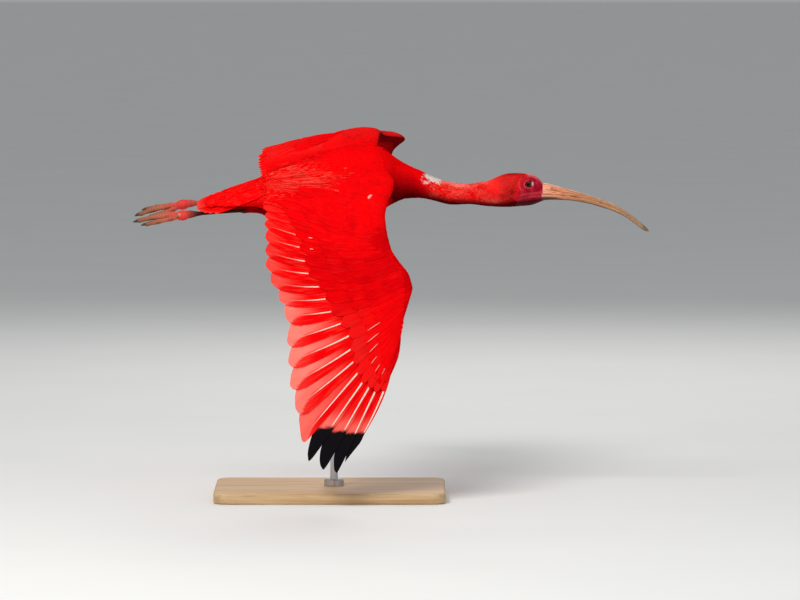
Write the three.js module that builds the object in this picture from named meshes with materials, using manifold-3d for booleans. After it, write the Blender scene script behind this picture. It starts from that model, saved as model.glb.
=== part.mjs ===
// A scarlet ibis in level flight, life size, on a plain display stand.
// Millimetres, +Z up, the bird flying towards +X. The origin is the middle of the stand's underside.
import * as THREE from 'three';
import { mergeVertices } from 'three/addons/utils/BufferGeometryUtils.js';
import Module from 'manifold-3d';

const wasm = await Module();
wasm.setup();

// Attitude of the body in degrees, and the height of its middle over the floor
const NOSE_UP = 8;
const BANK = 31;
const NOSE_TO_NEAR_SIDE = 3;
const FLYING_HEIGHT = 400;

// Stand
const BASE_LENGTH = 300;
const BASE_DEPTH = 220;
const BASE_HEIGHT = 14;
const BASE_CORNER = 18;
const BASE_BEVEL = 2;
const ROD_RADIUS = 5;
const ROD_X = 5;
const COLLAR_RADIUS = 13;
const COLLAR_HEIGHT = 9;
const COLLAR_BEVEL = 2;
const ROD_SIDES = 24;

// The space that touching parts keep
const GAP = 0.3;
const FLESH_SIDES = 20;
// Points closer than this are one
const WELD = 1e-4;

// Trunk in its own axes: forward, centre up, height over and under the centre, half width
const TRUNK = [
  [-150, 6.5, 2.6, 3, 13],
  [-130, 9, 6, 6, 18.5],
  [-110, 10, 10, 10.5, 22],
  [-91, 10, 15, 16, 25.5],
  [-65, 8, 28, 28, 37],
  [-35, 6, 38, 39, 46],
  [0, 6, 44, 47, 50],
  [30, 8, 46, 50, 49],
  [55, 9, 43, 47, 45],
  [73, 10.5, 37, 40, 38],
];
// Neck and head, level: forward, top, underside, half width, share of the trunk's bank
const NECK_AND_HEAD = [
  [91, 40.5, -12, 26, 0.7],
  [105, 31.5, -10, 19.5, 0.35],
  [120, 24.5, -10, 15.5, 0.1],
  [135, 17, -13, 13, 0],
  [156, 10.5, -18, 12, 0],
  [182, 8.5, -17.5, 11.5, 0],
  [196, 11, -19, 12.3, 0],
  [204, 12, -20, 13, 0],
  [212, 15, -20.5, 14.5, 0],
  [221, 19, -21, 16.2, 0],
  [231, 21.8, -21, 17.3, 0],
  [242, 22.4, -20.5, 17.6, 0],
  [252, 22, -20, 16.8, 0],
  [261, 21, -19, 15, 0],
  [267, 19.5, -17.8, 13.2, 0],
  [272, 16.5, -16.2, 11.2, 0],
  [276, 12.4, -15, 9, 0],
];
const TAIL_CUT = -112;
const NECK_CUT = 96;
const NECK_MIDDLE_CUT = 150;
const HEAD_CUT = 203;

// Bill: forward, top, line between the halves, underside, half width
const BILL = [
  [276.4, 8.6, -4.6, -11.6, 7.6],
  [293, 6.9, -5, -11.4, 6.4],
  [313, 1.2, -6.8, -12.7, 4.9],
  [333, -4.7, -9.8, -16.1, 4],
  [353, -11.1, -15.6, -21.5, 3.5],
  [369, -17.3, -21.5, -26.9, 3.2],
  [383, -25.3, -29.3, -33.4, 3],
  [397, -35.2, -39.3, -43.2, 2.7],
  [407, -43.6, -47.4, -50.8, 2.2],
  [414.5, -50.9, -52.2, -53.4, 0.9],
];
const BILL_SIDES = 8;
const BILL_ROUNDNESS = 0.9;
const NOSTRIL = { x: 289, length: 9, height: 1.6, depth: 2.2, belowTop: 3.4, out: 0.86, slope: 7 };

// Eye and lids
const EYE = { x: 259.4, z: 8.8, out: 9.6, radius: 6.2 };
const LID = { long: 5.9, high: 4.9, thick: 1.15, out: 0.9, turn: -9 };
const MOUTH = { depth: 1.3, height: 0.7, reach: 30 };
const MOUTH_LINE = [
  [280, -4.2],
  [266, -5.2],
  [254, -6.7],
  [241.5, -11],
];

// Wing arch seen from the front: start beside the spine, and droop in degrees along the span
const SHOULDER = { out: 35, up: 32 };
const DROOP = [
  [-20, 0],
  [0, 0],
  [30, 13],
  [67, 36],
  [90, 39],
  [160, 43],
  [200, 49],
  [250, 50.5],
  [400, 54.5],
];
const ARCH_END = 420;
// The arch of each cross-section, which is flatter where the wing is narrower than its widest part
const WING_CAMBER = 5.5;
const WIDEST_HALF = 85;
const WRIST = 163;
// Leading edge and trailing edge: along the span, forward
const LEADING_EDGE = [
  [-30, 84],
  [28, 84],
  [50, 77.5],
  [70, 72.5],
  [112, 75.6],
  [130, 83.7],
  [146, 93],
  [158, 95.8],
  [168, 96.5],
  [182, 91],
  [212, 77.8],
  [251, 67.5],
  [283, 49],
  [310, 34],
  [351, 11],
  [390, -14],
];
const TRAILING_EDGE = [
  [-30, -94],
  [90, -88],
  [200, -68],
  [330, -68],
  [390, -40],
];
// Flesh of the arm and hand: along the span, length front to back, thickness over and under
const ARM = [
  [-22, 78, 8, 12],
  [8, 76, 8.5, 9],
  [35, 70, 7.6, 7],
  [62, 64, 6.8, 6.5],
  [92, 62, 6.8, 6],
  [120, 58, 7, 5.5],
  [145, 52, 6.6, 5],
  [163, 44, 6.2, 4.6],
  [185, 40, 5.4, 4],
  [212, 36, 4.8, 3.6],
  [240, 32, 4.2, 3.2],
  [265, 27, 3.4, 2.8],
  [286, 18, 2.2, 2],
];
const ARM_FULLNESS = 2.6;
const ARM_REAR_THICKNESS = 0.7;
const ARM_CHORD_STEPS = [0, 0.05, 0.18, 0.36, 0.6, 0.82, 1];

// Flight feathers are numbered from the body outwards: 3 tertials, 10 secondaries, 10 primaries
const FIRST_PRIMARY = 13;
const LAST_FEATHER = 22;
// Each row gives feather number, place along the span, place forward
const FEATHER_ROOTS = [
  [0, 26, 18],
  [3, 66, 16],
  [12, 153, 71],
  [13, 171, 73],
  [22, 257, 60],
];
const FEATHER_KNEES = [
  [0, -2, -50],
  [3, 24, -50],
  [7, 78, -43],
  [9, 114.6, -35],
  [10, 131.5, -31.6],
  [11, 150.3, -20.9],
  [12, 167, -14],
  [13, 183.8, -8.8],
  [15, 217, 10],
  [16, 234.6, 8.9],
  [17, 250.6, 10.4],
  [18, 265.8, 13.3],
  [19, 278, 18],
  [20, 286, 24.8],
  [21, 292, 32],
  [22, 293, 42.6],
];
const FEATHER_TIPS = [
  [0, -8, -94],
  [3, 10, -90],
  [7, 56, -83.5],
  [8, 73, -84.8],
  [10, 111.5, -87.3],
  [11, 134.3, -82.7],
  [12, 157.9, -77.7],
  [13, 180.5, -70.2],
  [14, 213, -73],
  [15, 239.4, -74.6],
  [16, 269.7, -76.2],
  [17, 299.8, -73.7],
  [18, 335, -71.5],
  [19, 367.5, -64],
  [20, 381.5, -47.5],
  [21, 389.5, -31.5],
  [22, 375, -17],
];
// Thickness of a vane at its root and tip, and how much higher each one lies than the next one out
const VANE_ROOT_THICKNESS = 0.75;
const VANE_TIP_THICKNESS = 0.5;
const NEIGHBOUR_LIFT = 1.15;
// Outline of a vane, from root to tip: share of its length, width towards the body, width outwards,
// both widths in shares of the way to the next feather
const ROUND_VANE = [
  [0, 0.3, 0.3],
  [0.18, 0.6, 0.45],
  [0.5, 1.02, 0.52],
  [0.86, 1, 0.5],
  [0.955, 0.68, 0.36],
  [1, 0.2, 0.12],
];
const POINTED_VANE = [
  [0, 0.3, 0.3],
  [0.2, 0.62, 0.4],
  [0.5, 1, 0.32],
  [0.76, 0.98, 0.2],
  [0.87, 0.82, 0.16],
  [0.95, 0.48, 0.12],
  [1, 0.1, 0.08],
];
const COVERT_VANE = [
  [0, 0.35, 0.35],
  [0.35, 0.75, 0.5],
  [0.72, 0.85, 0.5],
  [0.92, 0.6, 0.36],
  [1, 0.18, 0.14],
];
// Widest places of a covert's outline
const COVERT_WIDEST = { inner: 0.85, outer: 0.5 };
const FIRST_POINTED = 18;
// The outermost feather's width ahead of its shaft, as a share of the others'
const EDGE_VANE_SHARE = 0.4;
// Coverts: lift at root and tip, share of the flight feather's line where they begin and end
const GREATER_COVERTS = { root: 1.2, tip: 2.6, from: 0.04, reach: 1 };
const MEDIAN_COVERTS = { root: 2.6, tip: 4.6, from: 0, reach: 0.58 };
// The share of a covert's length over which it rises to the lift of its tip
const COVERT_RISE = 0.33;
const FIRST_SECONDARY = 3;

// Shoulder feathers over the rump: forward and out at root and tip, and lift of each from the outer one in
const SCAPULARS = { rootA: -12, tipA: -94, rootOut: [34, 23, 12], tipOut: [21, 13, 5] };
const SCAPULAR_LIFTS = [1.9, 3, 4.1];
const SCAPULAR_SINK = 7;
const SCAPULAR_RISE = 0.3;
const SCAPULAR_WIDTH = { inner: 8.5, outer: 13.6 };
const MIDLINE_GAP = 0.4;

// Tail: place along the trunk with the height of its middle pair
const TAIL_LINE = [
  [-175, 4.6],
  [-158, 6],
  [-136, 8.2],
  [-108, 10.5],
];
// Six tail feathers a side, from the middle pair out
const TAIL_FEATHERS = 6;
const TAIL_ROOT = { a: -116, out: 2, step: 1.7 };
const TAIL_TIP = { out: 3.5, step: 3.2, middle: -174.5, fall: 0.92 };
const TAIL_VANE = { inner: 8, outer: 5, lift: 0.95 };
const TAIL_COVERTS = {
  count: 3,
  length: 30,
  out: 5,
  step: 5,
  splay: 1.5,
  stagger: 3,
  inner: 5,
  outer: 4.5,
  lift: 2.6,
  sink: 3,
};

// Legs, in the trunk's axes: the thigh's middle line with its radius, the joints, then the foot
const THIGH = [
  [-38, 24, -24, 17],
  [-56, 20.5, -17.5, 16.5],
  [-74, 16.5, -11.5, 12],
  [-90, 13.2, -6.8, 6.6],
  [-101, 11.8, -5.4, 5.2],
  [-113, 10.9, -5.3, 4.2],
];
const THIGH_SIDES = 12;
const LIMB_FLATNESS = 0.9;
const HOCK = { a: -110, b: 11, h: -5.5 };
const BALL = { a: -184, b: 12.8, h: 0.6, along: 9, wide: 6.4, high: 5.6 };
// Share of the way from hock to foot, and radius
const SHANK = [
  [0, 4.2],
  [0.06, 4.5],
  [0.13, 2.8],
  [0.5, 2.4],
  [0.88, 2.7],
  [1, 3.2],
];
// Length, spread from the ball's line, upward arch, and how far the tip drops on each foot
const TOES = [
  { name: 'inner', length: 44, spread: -5.6, arch: 1, radius: 3, drop: { right: 2, left: 3.2 } },
  { name: 'middle', length: 60, spread: 1.1, arch: 4, radius: 3.2, drop: { right: -0.4, left: 4 } },
  { name: 'outer', length: 50, spread: 6.8, arch: 0.6, radius: 3, drop: { right: 2, left: -0.6 } },
];
const HIND_TOE = { length: 17, radius: 2.2, drop: 6, start: 9, slope: 0.5, inwards: 1.5, under: 2, nail: 0.72 };
const CLAW = { length: 6, root: 0.62, middle: 0.45, tip: 0.4, flatness: 0.95 };
const TOE_SIDES = 6;
const TOE_JOINTS = 3;
// A toe's radius between its joints, and what the joints add and its length takes away
const TOE_SHAPE = { between: 0.82, joint: 0.2, taper: 0.38 };

const SCARLET = { color: 0xe8150f, roughness: 0.62, metalness: 0 };
const FACE_SKIN = { color: 0xc42e3c, roughness: 0.5, metalness: 0 };
const BILL_HORN = { color: 0xc98658, roughness: 0.42, metalness: 0 };
const EYE_DARK = { color: 0x140c0c, roughness: 0.12, metalness: 0 };
const LEG_SKIN = { color: 0xb9776d, roughness: 0.55, metalness: 0 };
const CLAW_HORN = { color: 0x3a2c26, roughness: 0.4, metalness: 0 };
const PALE_WOOD = { color: 0xc8ab84, roughness: 0.6, metalness: 0 };
const BRUSHED_STEEL = { color: 0xb6b9bc, roughness: 0.35, metalness: 1 };

const radians = THREE.MathUtils.degToRad;

// Trunk axes in the level frame: forward, to the far side, up
const attitude = new THREE.Matrix4()
  .makeRotationY(-radians(NOSE_UP))
  .multiply(new THREE.Matrix4().makeRotationX(radians(BANK)));
const FORWARD = new THREE.Vector3(1, 0, 0).transformDirection(attitude);
const FAR = new THREE.Vector3(0, 1, 0).transformDirection(attitude);
const UP = new THREE.Vector3(0, 0, 1).transformDirection(attitude);

function onTrunk(a, b, h) {
  return new THREE.Vector3()
    .addScaledVector(FORWARD, a)
    .addScaledVector(FAR, b)
    .addScaledVector(UP, h);
}

// A smooth curve through rows of [place, value, value...]: the value in the given column at x
function along(rows, x, column = 1) {
  const last = rows.length - 1;
  let k = 0;
  while (k < last - 1 && x > rows[k + 1][0]) k += 1;
  const slope = (i) => {
    const low = rows[Math.max(i - 1, 0)];
    const high = rows[Math.min(i + 1, last)];
    return (high[column] - low[column]) / (high[0] - low[0]);
  };
  const [from, to] = [rows[k], rows[k + 1]];
  const width = to[0] - from[0];
  const t = (x - from[0]) / width;
  if (t < 0) return from[column] + slope(k) * (x - from[0]);
  if (t > 1) return to[column] + slope(k + 1) * (x - to[0]);
  const bend = t * t * (3 - 2 * t);
  return (
    from[column] * (1 - bend) +
    to[column] * bend +
    slope(k) * width * t * (1 - t) * (1 - t) -
    slope(k + 1) * width * t * t * (1 - t)
  );
}

function asSolid(points, triangles) {
  const made = new wasm.Manifold(
    new wasm.Mesh({
      numProp: 3,
      vertProperties: new Float32Array(points.flatMap((p) => [p.x, p.y, p.z])),
      triVerts: new Uint32Array(triangles.flat()),
    }),
  );
  if (made.volume() > 0) return made;
  return asSolid(
    points,
    triangles.map(([p, q, r]) => [p, r, q]),
  );
}

function fromGeometry(geometry) {
  geometry.deleteAttribute('normal');
  geometry.deleteAttribute('uv');
  const merged = mergeVertices(geometry, WELD);
  return new wasm.Manifold(
    new wasm.Mesh({
      numProp: 3,
      vertProperties: merged.attributes.position.array,
      triVerts: new Uint32Array(merged.index.array),
    }),
  );
}

// A closed body through rings of equally many points, with its two ends closed by fans
function loft(rings) {
  const count = rings[0].length;
  const points = rings.flat();
  const triangles = [];
  for (let k = 0; k + 1 < rings.length; k += 1) {
    for (let j = 0; j < count; j += 1) {
      const next = (j + 1) % count;
      const [p, q] = [k * count + j, k * count + next];
      triangles.push([p, q, q + count], [p, q + count, p + count]);
    }
  }
  [0, rings.length - 1].forEach((k, end) => {
    const middle = new THREE.Vector3();
    rings[k].forEach((p) => middle.addScaledVector(p, 1 / count));
    const hub = points.push(middle) - 1;
    for (let j = 0; j < count; j += 1) {
      const [p, q] = [k * count + j, k * count + ((j + 1) % count)];
      triangles.push(end ? [hub, p, q] : [hub, q, p]);
    }
  });
  return asSolid(points, triangles);
}

// A thin body between two grids of points, split into triangles alike on both faces
function sheet(top, bottom) {
  const rows = top.length;
  const columns = top[0].length;
  const under = rows * columns;
  const at = (k, j) => k * columns + j;
  const triangles = [];
  for (let k = 0; k + 1 < rows; k += 1) {
    for (let j = 0; j + 1 < columns; j += 1) {
      const [p, q, r, s] = [at(k, j), at(k, j + 1), at(k + 1, j + 1), at(k + 1, j)];
      triangles.push([p, q, r], [p, r, s]);
      triangles.push([p + under, r + under, q + under], [p + under, s + under, r + under]);
    }
  }
  const rim = [];
  for (let j = 0; j + 1 < columns; j += 1) rim.push(at(0, j));
  for (let k = 0; k + 1 < rows; k += 1) rim.push(at(k, columns - 1));
  for (let j = columns - 1; j > 0; j -= 1) rim.push(at(rows - 1, j));
  for (let k = rows - 1; k > 0; k -= 1) rim.push(at(k, 0));
  rim.forEach((p, i) => {
    const q = rim[(i + 1) % rim.length];
    triangles.push([q, p, p + under], [q, p + under, q + under]);
  });
  return asSolid([...top.flat(), ...bottom.flat()], triangles);
}

function ovalRing(centre, side, up, wide, high, deep, count = FLESH_SIDES) {
  return Array.from({ length: count }, (_, k) => {
    const angle = (2 * Math.PI * k) / count;
    const rise = Math.sin(angle) * (Math.sin(angle) > 0 ? high : deep);
    return centre
      .clone()
      .addScaledVector(side, Math.cos(angle) * wide)
      .addScaledVector(up, rise);
  });
}

// Round rings along a path of centres, square to it, each with its own radius and flatness
function tube(centres, radii, flatness = 1, count = TOE_SIDES) {
  const rings = centres.map((centre, k) => {
    const before = centres[Math.max(k - 1, 0)];
    const after = centres[Math.min(k + 1, centres.length - 1)];
    const ahead = after.clone().sub(before).normalize();
    const side = UP.clone().cross(ahead).normalize();
    const up = ahead.clone().cross(side);
    return ovalRing(centre, side, up, radii[k], radii[k] * flatness, radii[k] * flatness, count);
  });
  return loft(rings);
}

const fuse = (pieces) => pieces.reduce((whole, piece) => whole.add(piece));

// The largest closed surface, which leaves out loose scraps and fills hollows
function largest(solid) {
  const pieces = solid.decompose();
  return pieces.reduce((best, piece) => (piece.volume() > best.volume() ? piece : best));
}

// Keeps the side of a plane that its direction points to
function cutAt(solid, direction, point) {
  return solid.trimByPlane(direction.toArray(), direction.dot(point));
}

// Flesh from the tail's root to the face, grown all over by a little for cutting its neighbours
function flesh(grown = 0) {
  const rings = TRUNK.map(([a, h, high, deep, wide]) =>
    ovalRing(onTrunk(a, 0, h), FAR, UP, wide + grown, high + grown, deep + grown),
  );
  NECK_AND_HEAD.forEach(([x, top, under, wide, bank]) => {
    const half = (top - under) / 2 + grown;
    const lean = TRUNK[0][1] * bank * UP.y;
    const centre = new THREE.Vector3(x, lean, (top + under) / 2);
    const side = new THREE.Vector3(0, 1, 0).lerp(FAR, bank).normalize();
    const up = new THREE.Vector3(0, 0, 1).lerp(UP, bank);
    up.addScaledVector(side, -up.dot(side)).normalize();
    rings.push(ovalRing(centre, side, up, wide + grown, half, half));
  });
  return loft(rings);
}

const LEVEL = new THREE.Vector3(1, 0, 0);
const BACKWARD = LEVEL.clone().negate();
const wholeFlesh = flesh();
const fleshForCuts = flesh(GAP);

// The stretch of the flesh between two places, each cut square to its own direction
function stretch(from, to) {
  let piece = wholeFlesh;
  if (from) piece = cutAt(piece, from.direction, from.point);
  if (to) piece = cutAt(piece, to.direction.clone().negate(), to.point);
  return piece;
}
const slice = (direction, point, shift) => ({
  direction,
  point: point.clone().addScaledVector(direction, shift),
});
const tailPlane = (shift) => slice(FORWARD, onTrunk(TAIL_CUT, 0, 0), shift);
const levelPlane = (x) => (shift) => slice(LEVEL, new THREE.Vector3(x, 0, 0), shift);
const neckPlane = levelPlane(NECK_CUT);
const neckMiddlePlane = levelPlane(NECK_MIDDLE_CUT);
const headPlane = levelPlane(HEAD_CUT);

// The wing arch: places out and up at each millimetre of the span
const archStart = DROOP[0][0];
const arch = [{ out: SHOULDER.out + archStart, up: SHOULDER.up }];
for (let s = archStart; s < ARCH_END; s += 1) {
  const droop = radians(along(DROOP, s + 0.5));
  const last = arch[arch.length - 1];
  arch.push({ out: last.out + Math.cos(droop), up: last.up - Math.sin(droop) });
}

function archAt(s) {
  const place = THREE.MathUtils.clamp(s - archStart, 0, arch.length - 2);
  const k = Math.floor(place);
  const rest = s - archStart - k;
  return {
    out: arch[k].out + (arch[k + 1].out - arch[k].out) * rest,
    up: arch[k].up + (arch[k + 1].up - arch[k].up) * rest,
    droop: radians(along(DROOP, THREE.MathUtils.clamp(s, archStart, DROOP[DROOP.length - 1][0]))),
  };
}

// A point of the wing: along the span, forward, and lift off the wing's own arched surface
function onWing(side, s, a, lift) {
  const front = along(LEADING_EDGE, s);
  const rear = along(TRAILING_EDGE, s);
  const middle = (front + rear) / 2;
  const half = (front - rear) / 2;
  const full = WING_CAMBER * Math.min(1, half / WIDEST_HALF);
  const camber = full * (1 - ((a - middle) / half) ** 2);
  const { out, up, droop } = archAt(s);
  const rise = lift + Math.max(camber, -WING_CAMBER);
  return onTrunk(a, side * (out + rise * Math.sin(droop)), up + rise * Math.cos(droop));
}

function armFlesh(side, grown = 0) {
  const rings = ARM.map(([s, chord, over, under]) => {
    const front = along(LEADING_EDGE, s) + grown;
    const length = chord + 2 * grown;
    const contour = ARM_CHORD_STEPS.map((x) => {
      const fullness = ARM_FULLNESS * Math.sqrt(x) * (1 - x);
      const rear = ARM_REAR_THICKNESS * x + grown;
      return { a: front - length * x, over: over * fullness + rear, under: under * fullness + rear };
    });
    const top = contour.map((c) => onWing(side, s, c.a, c.over));
    const bottom = contour.slice(1).map((c) => onWing(side, s, c.a, -c.under));
    return [...top, ...bottom.reverse()];
  });
  return loft(rings);
}

// The plane across the wing at the wrist, facing the tip
function wristPlane(side, shift) {
  const { out, up, droop } = archAt(WRIST);
  const outward = new THREE.Vector3()
    .addScaledVector(FAR, side * Math.cos(droop))
    .addScaledVector(UP, -Math.sin(droop));
  return slice(outward, onTrunk(0, side * out, up), shift);
}

// A flight feather's line, also between two feathers: share 0 at its root and 1 at its tip
function featherLine(number, share) {
  const read = (rows) => [along(rows, number, 1), along(rows, number, 2)];
  const [root, knee, tip] = [FEATHER_ROOTS, FEATHER_KNEES, FEATHER_TIPS].map(read);
  const inner = Math.hypot(knee[0] - root[0], knee[1] - root[1]);
  const outer = Math.hypot(tip[0] - knee[0], tip[1] - knee[1]);
  const at = inner / (inner + outer);
  return [0, 1].map((i) => {
    const pull = (knee[i] - root[i] * (1 - at) ** 2 - tip[i] * at ** 2) / (2 * at * (1 - at));
    return root[i] * (1 - share) ** 2 + 2 * pull * share * (1 - share) + tip[i] * share ** 2;
  });
}

// The share of a feather's line at which the greater coverts end
function kneeShare(number) {
  const span = (rows, other) =>
    Math.hypot(
      along(rows, number, 1) - along(other, number, 1),
      along(rows, number, 2) - along(other, number, 2),
    );
  const inner = span(FEATHER_ROOTS, FEATHER_KNEES);
  return inner / (inner + span(FEATHER_KNEES, FEATHER_TIPS));
}

const thicknessAt = (share) => THREE.MathUtils.lerp(VANE_ROOT_THICKNESS, VANE_TIP_THICKNESS, share);

// A vane that follows a feather's line, tilted so that it lies under the next one towards the body
function vane(side, number, outline, { from = 0, to = 1, lift = () => 0, flat = false } = {}) {
  const outwards = number === LAST_FEATHER ? EDGE_VANE_SHARE : 1;
  const face = (sign) =>
    outline.map(([share, inner, wide]) =>
      (flat ? [-inner, wide * outwards] : [-inner, 0, wide * outwards]).map((across) => {
        const [s, a] = featherLine(number + across, THREE.MathUtils.lerp(from, to, share));
        const tilt = NEIGHBOUR_LIFT * across;
        return onWing(side, s, a, lift(share) + tilt + (sign * thicknessAt(share)) / 2);
      }),
    );
  return sheet(face(1), face(-1));
}

function flightFeathers(side, from, to) {
  const vanes = [];
  for (let number = from; number <= to; number += 1) {
    const outline = number >= FIRST_POINTED ? POINTED_VANE : ROUND_VANE;
    vanes.push(vane(side, number, outline, { flat: number >= FIRST_PRIMARY }));
  }
  return vanes;
}

function coverts(side, from, to, row) {
  const vanes = [];
  const lift = (share) => THREE.MathUtils.lerp(row.root, row.tip, Math.min(1, share / COVERT_RISE));
  for (let number = from; number <= to; number += 1) {
    const end = row.from + (kneeShare(number) - row.from) * row.reach;
    vanes.push(vane(side, number, COVERT_VANE, { from: row.from, to: end, lift, flat: true }));
  }
  return vanes;
}

// The shoulder feathers of one side, grown all over by a little for cutting the wing under them
function scapulars(side, grown = 0) {
  const vanes = SCAPULARS.rootOut.map((rootOut, k) => {
    const face = (sign) =>
      COVERT_VANE.map(([share, inner, outer]) => {
        const a = THREE.MathUtils.lerp(SCAPULARS.rootA, SCAPULARS.tipA, share);
        const out = THREE.MathUtils.lerp(rootOut, SCAPULARS.tipOut[k], share);
        const lift = SCAPULAR_LIFTS[k] - SCAPULAR_SINK * Math.max(0, 1 - share / SCAPULAR_RISE);
        const inwards = out - SCAPULAR_WIDTH.inner * inner - grown;
        const outwards = out + SCAPULAR_WIDTH.outer * outer + grown;
        return [inwards, out, outwards].map((place) => {
          const s = Math.max(place, MIDLINE_GAP) - SHOULDER.out;
          return onWing(side, s, a - grown, lift + sign * (thicknessAt(share) / 2 + grown));
        });
      });
    return sheet(face(1), face(-1));
  });
  return fuse(vanes);
}

function wing(side) {
  const arm = armFlesh(side);
  const wrist = wristPlane(side, 0);
  const innerArm = cutAt(arm, wrist.direction.clone().negate(), wristPlane(side, -GAP / 2).point);
  const hand = cutAt(arm, wrist.direction, wristPlane(side, GAP / 2).point);
  const grownArm = armFlesh(side, GAP);
  const armForCuts = cutAt(grownArm, wrist.direction.clone().negate(), wristPlane(side, GAP / 2).point);
  const handForCuts = cutAt(grownArm, wrist.direction, wristPlane(side, -GAP / 2).point);
  const bodyForCuts = fuse([fleshForCuts, scapulars(side, GAP)]);
  const innerFeathers = [
    ...flightFeathers(side, 0, FIRST_PRIMARY - 1),
    ...coverts(side, 1.5, FIRST_PRIMARY - 0.5, GREATER_COVERTS),
    ...coverts(side, FIRST_SECONDARY, FIRST_PRIMARY - 1, MEDIAN_COVERTS),
  ];
  const outerFeathers = [
    ...flightFeathers(side, FIRST_PRIMARY, LAST_FEATHER),
    ...coverts(side, FIRST_PRIMARY + 0.5, LAST_FEATHER, GREATER_COVERTS),
  ];
  return {
    inner: largest(fuse([innerArm, fuse(innerFeathers).subtract(handForCuts)]).subtract(bodyForCuts)),
    outer: largest(fuse([hand, fuse(outerFeathers).subtract(armForCuts)])),
  };
}

// The trunk with the shoulder feathers that lie over its rump
function trunkSolid() {
  const trunk = stretch(tailPlane(GAP / 2), neckPlane(-GAP / 2));
  return largest(fuse([trunk, scapulars(-1), scapulars(1)]));
}

// A tail vane: level 0 is the upper of the middle pair and each further out lies lower
function tailVane(side, { rootA, rootOut, tipA, tipOut, inner, outer, lift, over = -1 }) {
  const face = (sign) =>
    COVERT_VANE.map(([share, narrow, wide]) => {
      const a = THREE.MathUtils.lerp(rootA, tipA, share);
      const out = THREE.MathUtils.lerp(rootOut, tipOut, share);
      const edges = [
        out - (inner * narrow) / COVERT_WIDEST.inner,
        out + (outer * wide) / COVERT_WIDEST.outer,
      ];
      return edges.map((place) => {
        const b = side * Math.max(place, over < 0 ? MIDLINE_GAP : -over);
        return onTrunk(a, b, along(TAIL_LINE, a) + lift(share) + (sign * thicknessAt(share)) / 2);
      });
    });
  return sheet(face(1), face(-1));
}

function tailSolid() {
  const pieces = [stretch(null, tailPlane(-GAP / 2))];
  for (const side of [-1, 1]) {
    for (let k = 0; k < TAIL_FEATHERS; k += 1) {
      // The near one of the middle pair lies over the far one and reaches across the middle
      const uppermost = k === 0 && side < 0;
      const level = uppermost ? -1 : k;
      pieces.push(
        tailVane(side, {
          rootA: TAIL_ROOT.a,
          rootOut: TAIL_ROOT.out + k * TAIL_ROOT.step,
          tipA: TAIL_TIP.middle + TAIL_TIP.fall * k * k,
          tipOut: TAIL_TIP.out + k * TAIL_TIP.step,
          inner: TAIL_VANE.inner,
          outer: TAIL_VANE.outer,
          lift: () => -level * TAIL_VANE.lift,
          over: uppermost ? TAIL_VANE.inner : -1,
        }),
      );
    }
    for (let k = 0; k < TAIL_COVERTS.count; k += 1) {
      const out = TAIL_COVERTS.out + k * TAIL_COVERTS.step;
      const top = TAIL_COVERTS.lift + (TAIL_COVERTS.count - 1 - k) * TAIL_VANE.lift;
      pieces.push(
        tailVane(side, {
          rootA: TAIL_ROOT.a + 1,
          rootOut: out,
          tipA: TAIL_ROOT.a - TAIL_COVERTS.length + k * TAIL_COVERTS.stagger,
          tipOut: out + TAIL_COVERTS.splay,
          inner: TAIL_COVERTS.inner,
          outer: TAIL_COVERTS.outer,
          lift: (share) => top - TAIL_COVERTS.sink * (1 - share) ** 2,
        }),
      );
    }
  }
  return largest(fuse(pieces));
}

// Half of the bill: rings that are round on the outside and flat along the line between the halves
function billHalf(upper) {
  const rings = BILL.map(([x, top, line, under, wide]) => {
    const edge = line + (upper ? GAP / 2 : -GAP / 2);
    const height = upper ? top - edge : under - edge;
    return Array.from({ length: BILL_SIDES + 1 }, (_, k) => {
      const angle = (Math.PI * k) / BILL_SIDES;
      const full = Math.sin(angle) ** BILL_ROUNDNESS;
      return new THREE.Vector3(x, Math.cos(angle) * wide, edge + height * full);
    });
  });
  return loft(rings);
}

function nostrilCutter(side) {
  const slot = new THREE.BoxGeometry(NOSTRIL.length, NOSTRIL.depth, NOSTRIL.height);
  slot.rotateY(radians(NOSTRIL.slope));
  const top = along(BILL, NOSTRIL.x);
  slot.translate(NOSTRIL.x, side * along(BILL, NOSTRIL.x, 4) * NOSTRIL.out, top - NOSTRIL.belowTop);
  return fromGeometry(slot);
}

function headSolid() {
  let head = stretch(headPlane(GAP / 2), null);
  const inner = flesh(-MOUTH.depth);
  const faceOf = (y, sign) =>
    MOUTH_LINE.map(([x, z]) => new THREE.Vector3(x, y, z + (sign * MOUTH.height) / 2));
  const [left, right] = [MOUTH.reach, -MOUTH.reach];
  const top = [faceOf(right, 1), faceOf(left, 1)];
  const bottom = [faceOf(right, -1), faceOf(left, -1)];
  head = head.subtract(sheet(top, bottom).subtract(inner));
  for (const side of [-1, 1]) {
    const lids = new THREE.TorusGeometry(1, LID.thick / LID.high, 5, 16);
    lids.scale(LID.long, LID.high, LID.high);
    lids.rotateX(Math.PI / 2);
    lids.rotateZ(side * radians(LID.turn));
    const socket = new THREE.SphereGeometry(EYE.radius + GAP, 16, 10);
    const lidOut = along(NECK_AND_HEAD, EYE.x, 3) * LID.out;
    lids.translate(EYE.x, side * lidOut, EYE.z);
    socket.translate(EYE.x, side * EYE.out, EYE.z);
    head = head.add(fromGeometry(lids)).subtract(fromGeometry(socket));
  }
  return largest(head);
}

function eyeball(side) {
  const ball = new THREE.SphereGeometry(EYE.radius, 16, 10);
  ball.translate(EYE.x, side * EYE.out, EYE.z);
  return fromGeometry(ball);
}

function legPoint(side, place) {
  return onTrunk(place.a, side * place.b, place.h);
}

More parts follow.
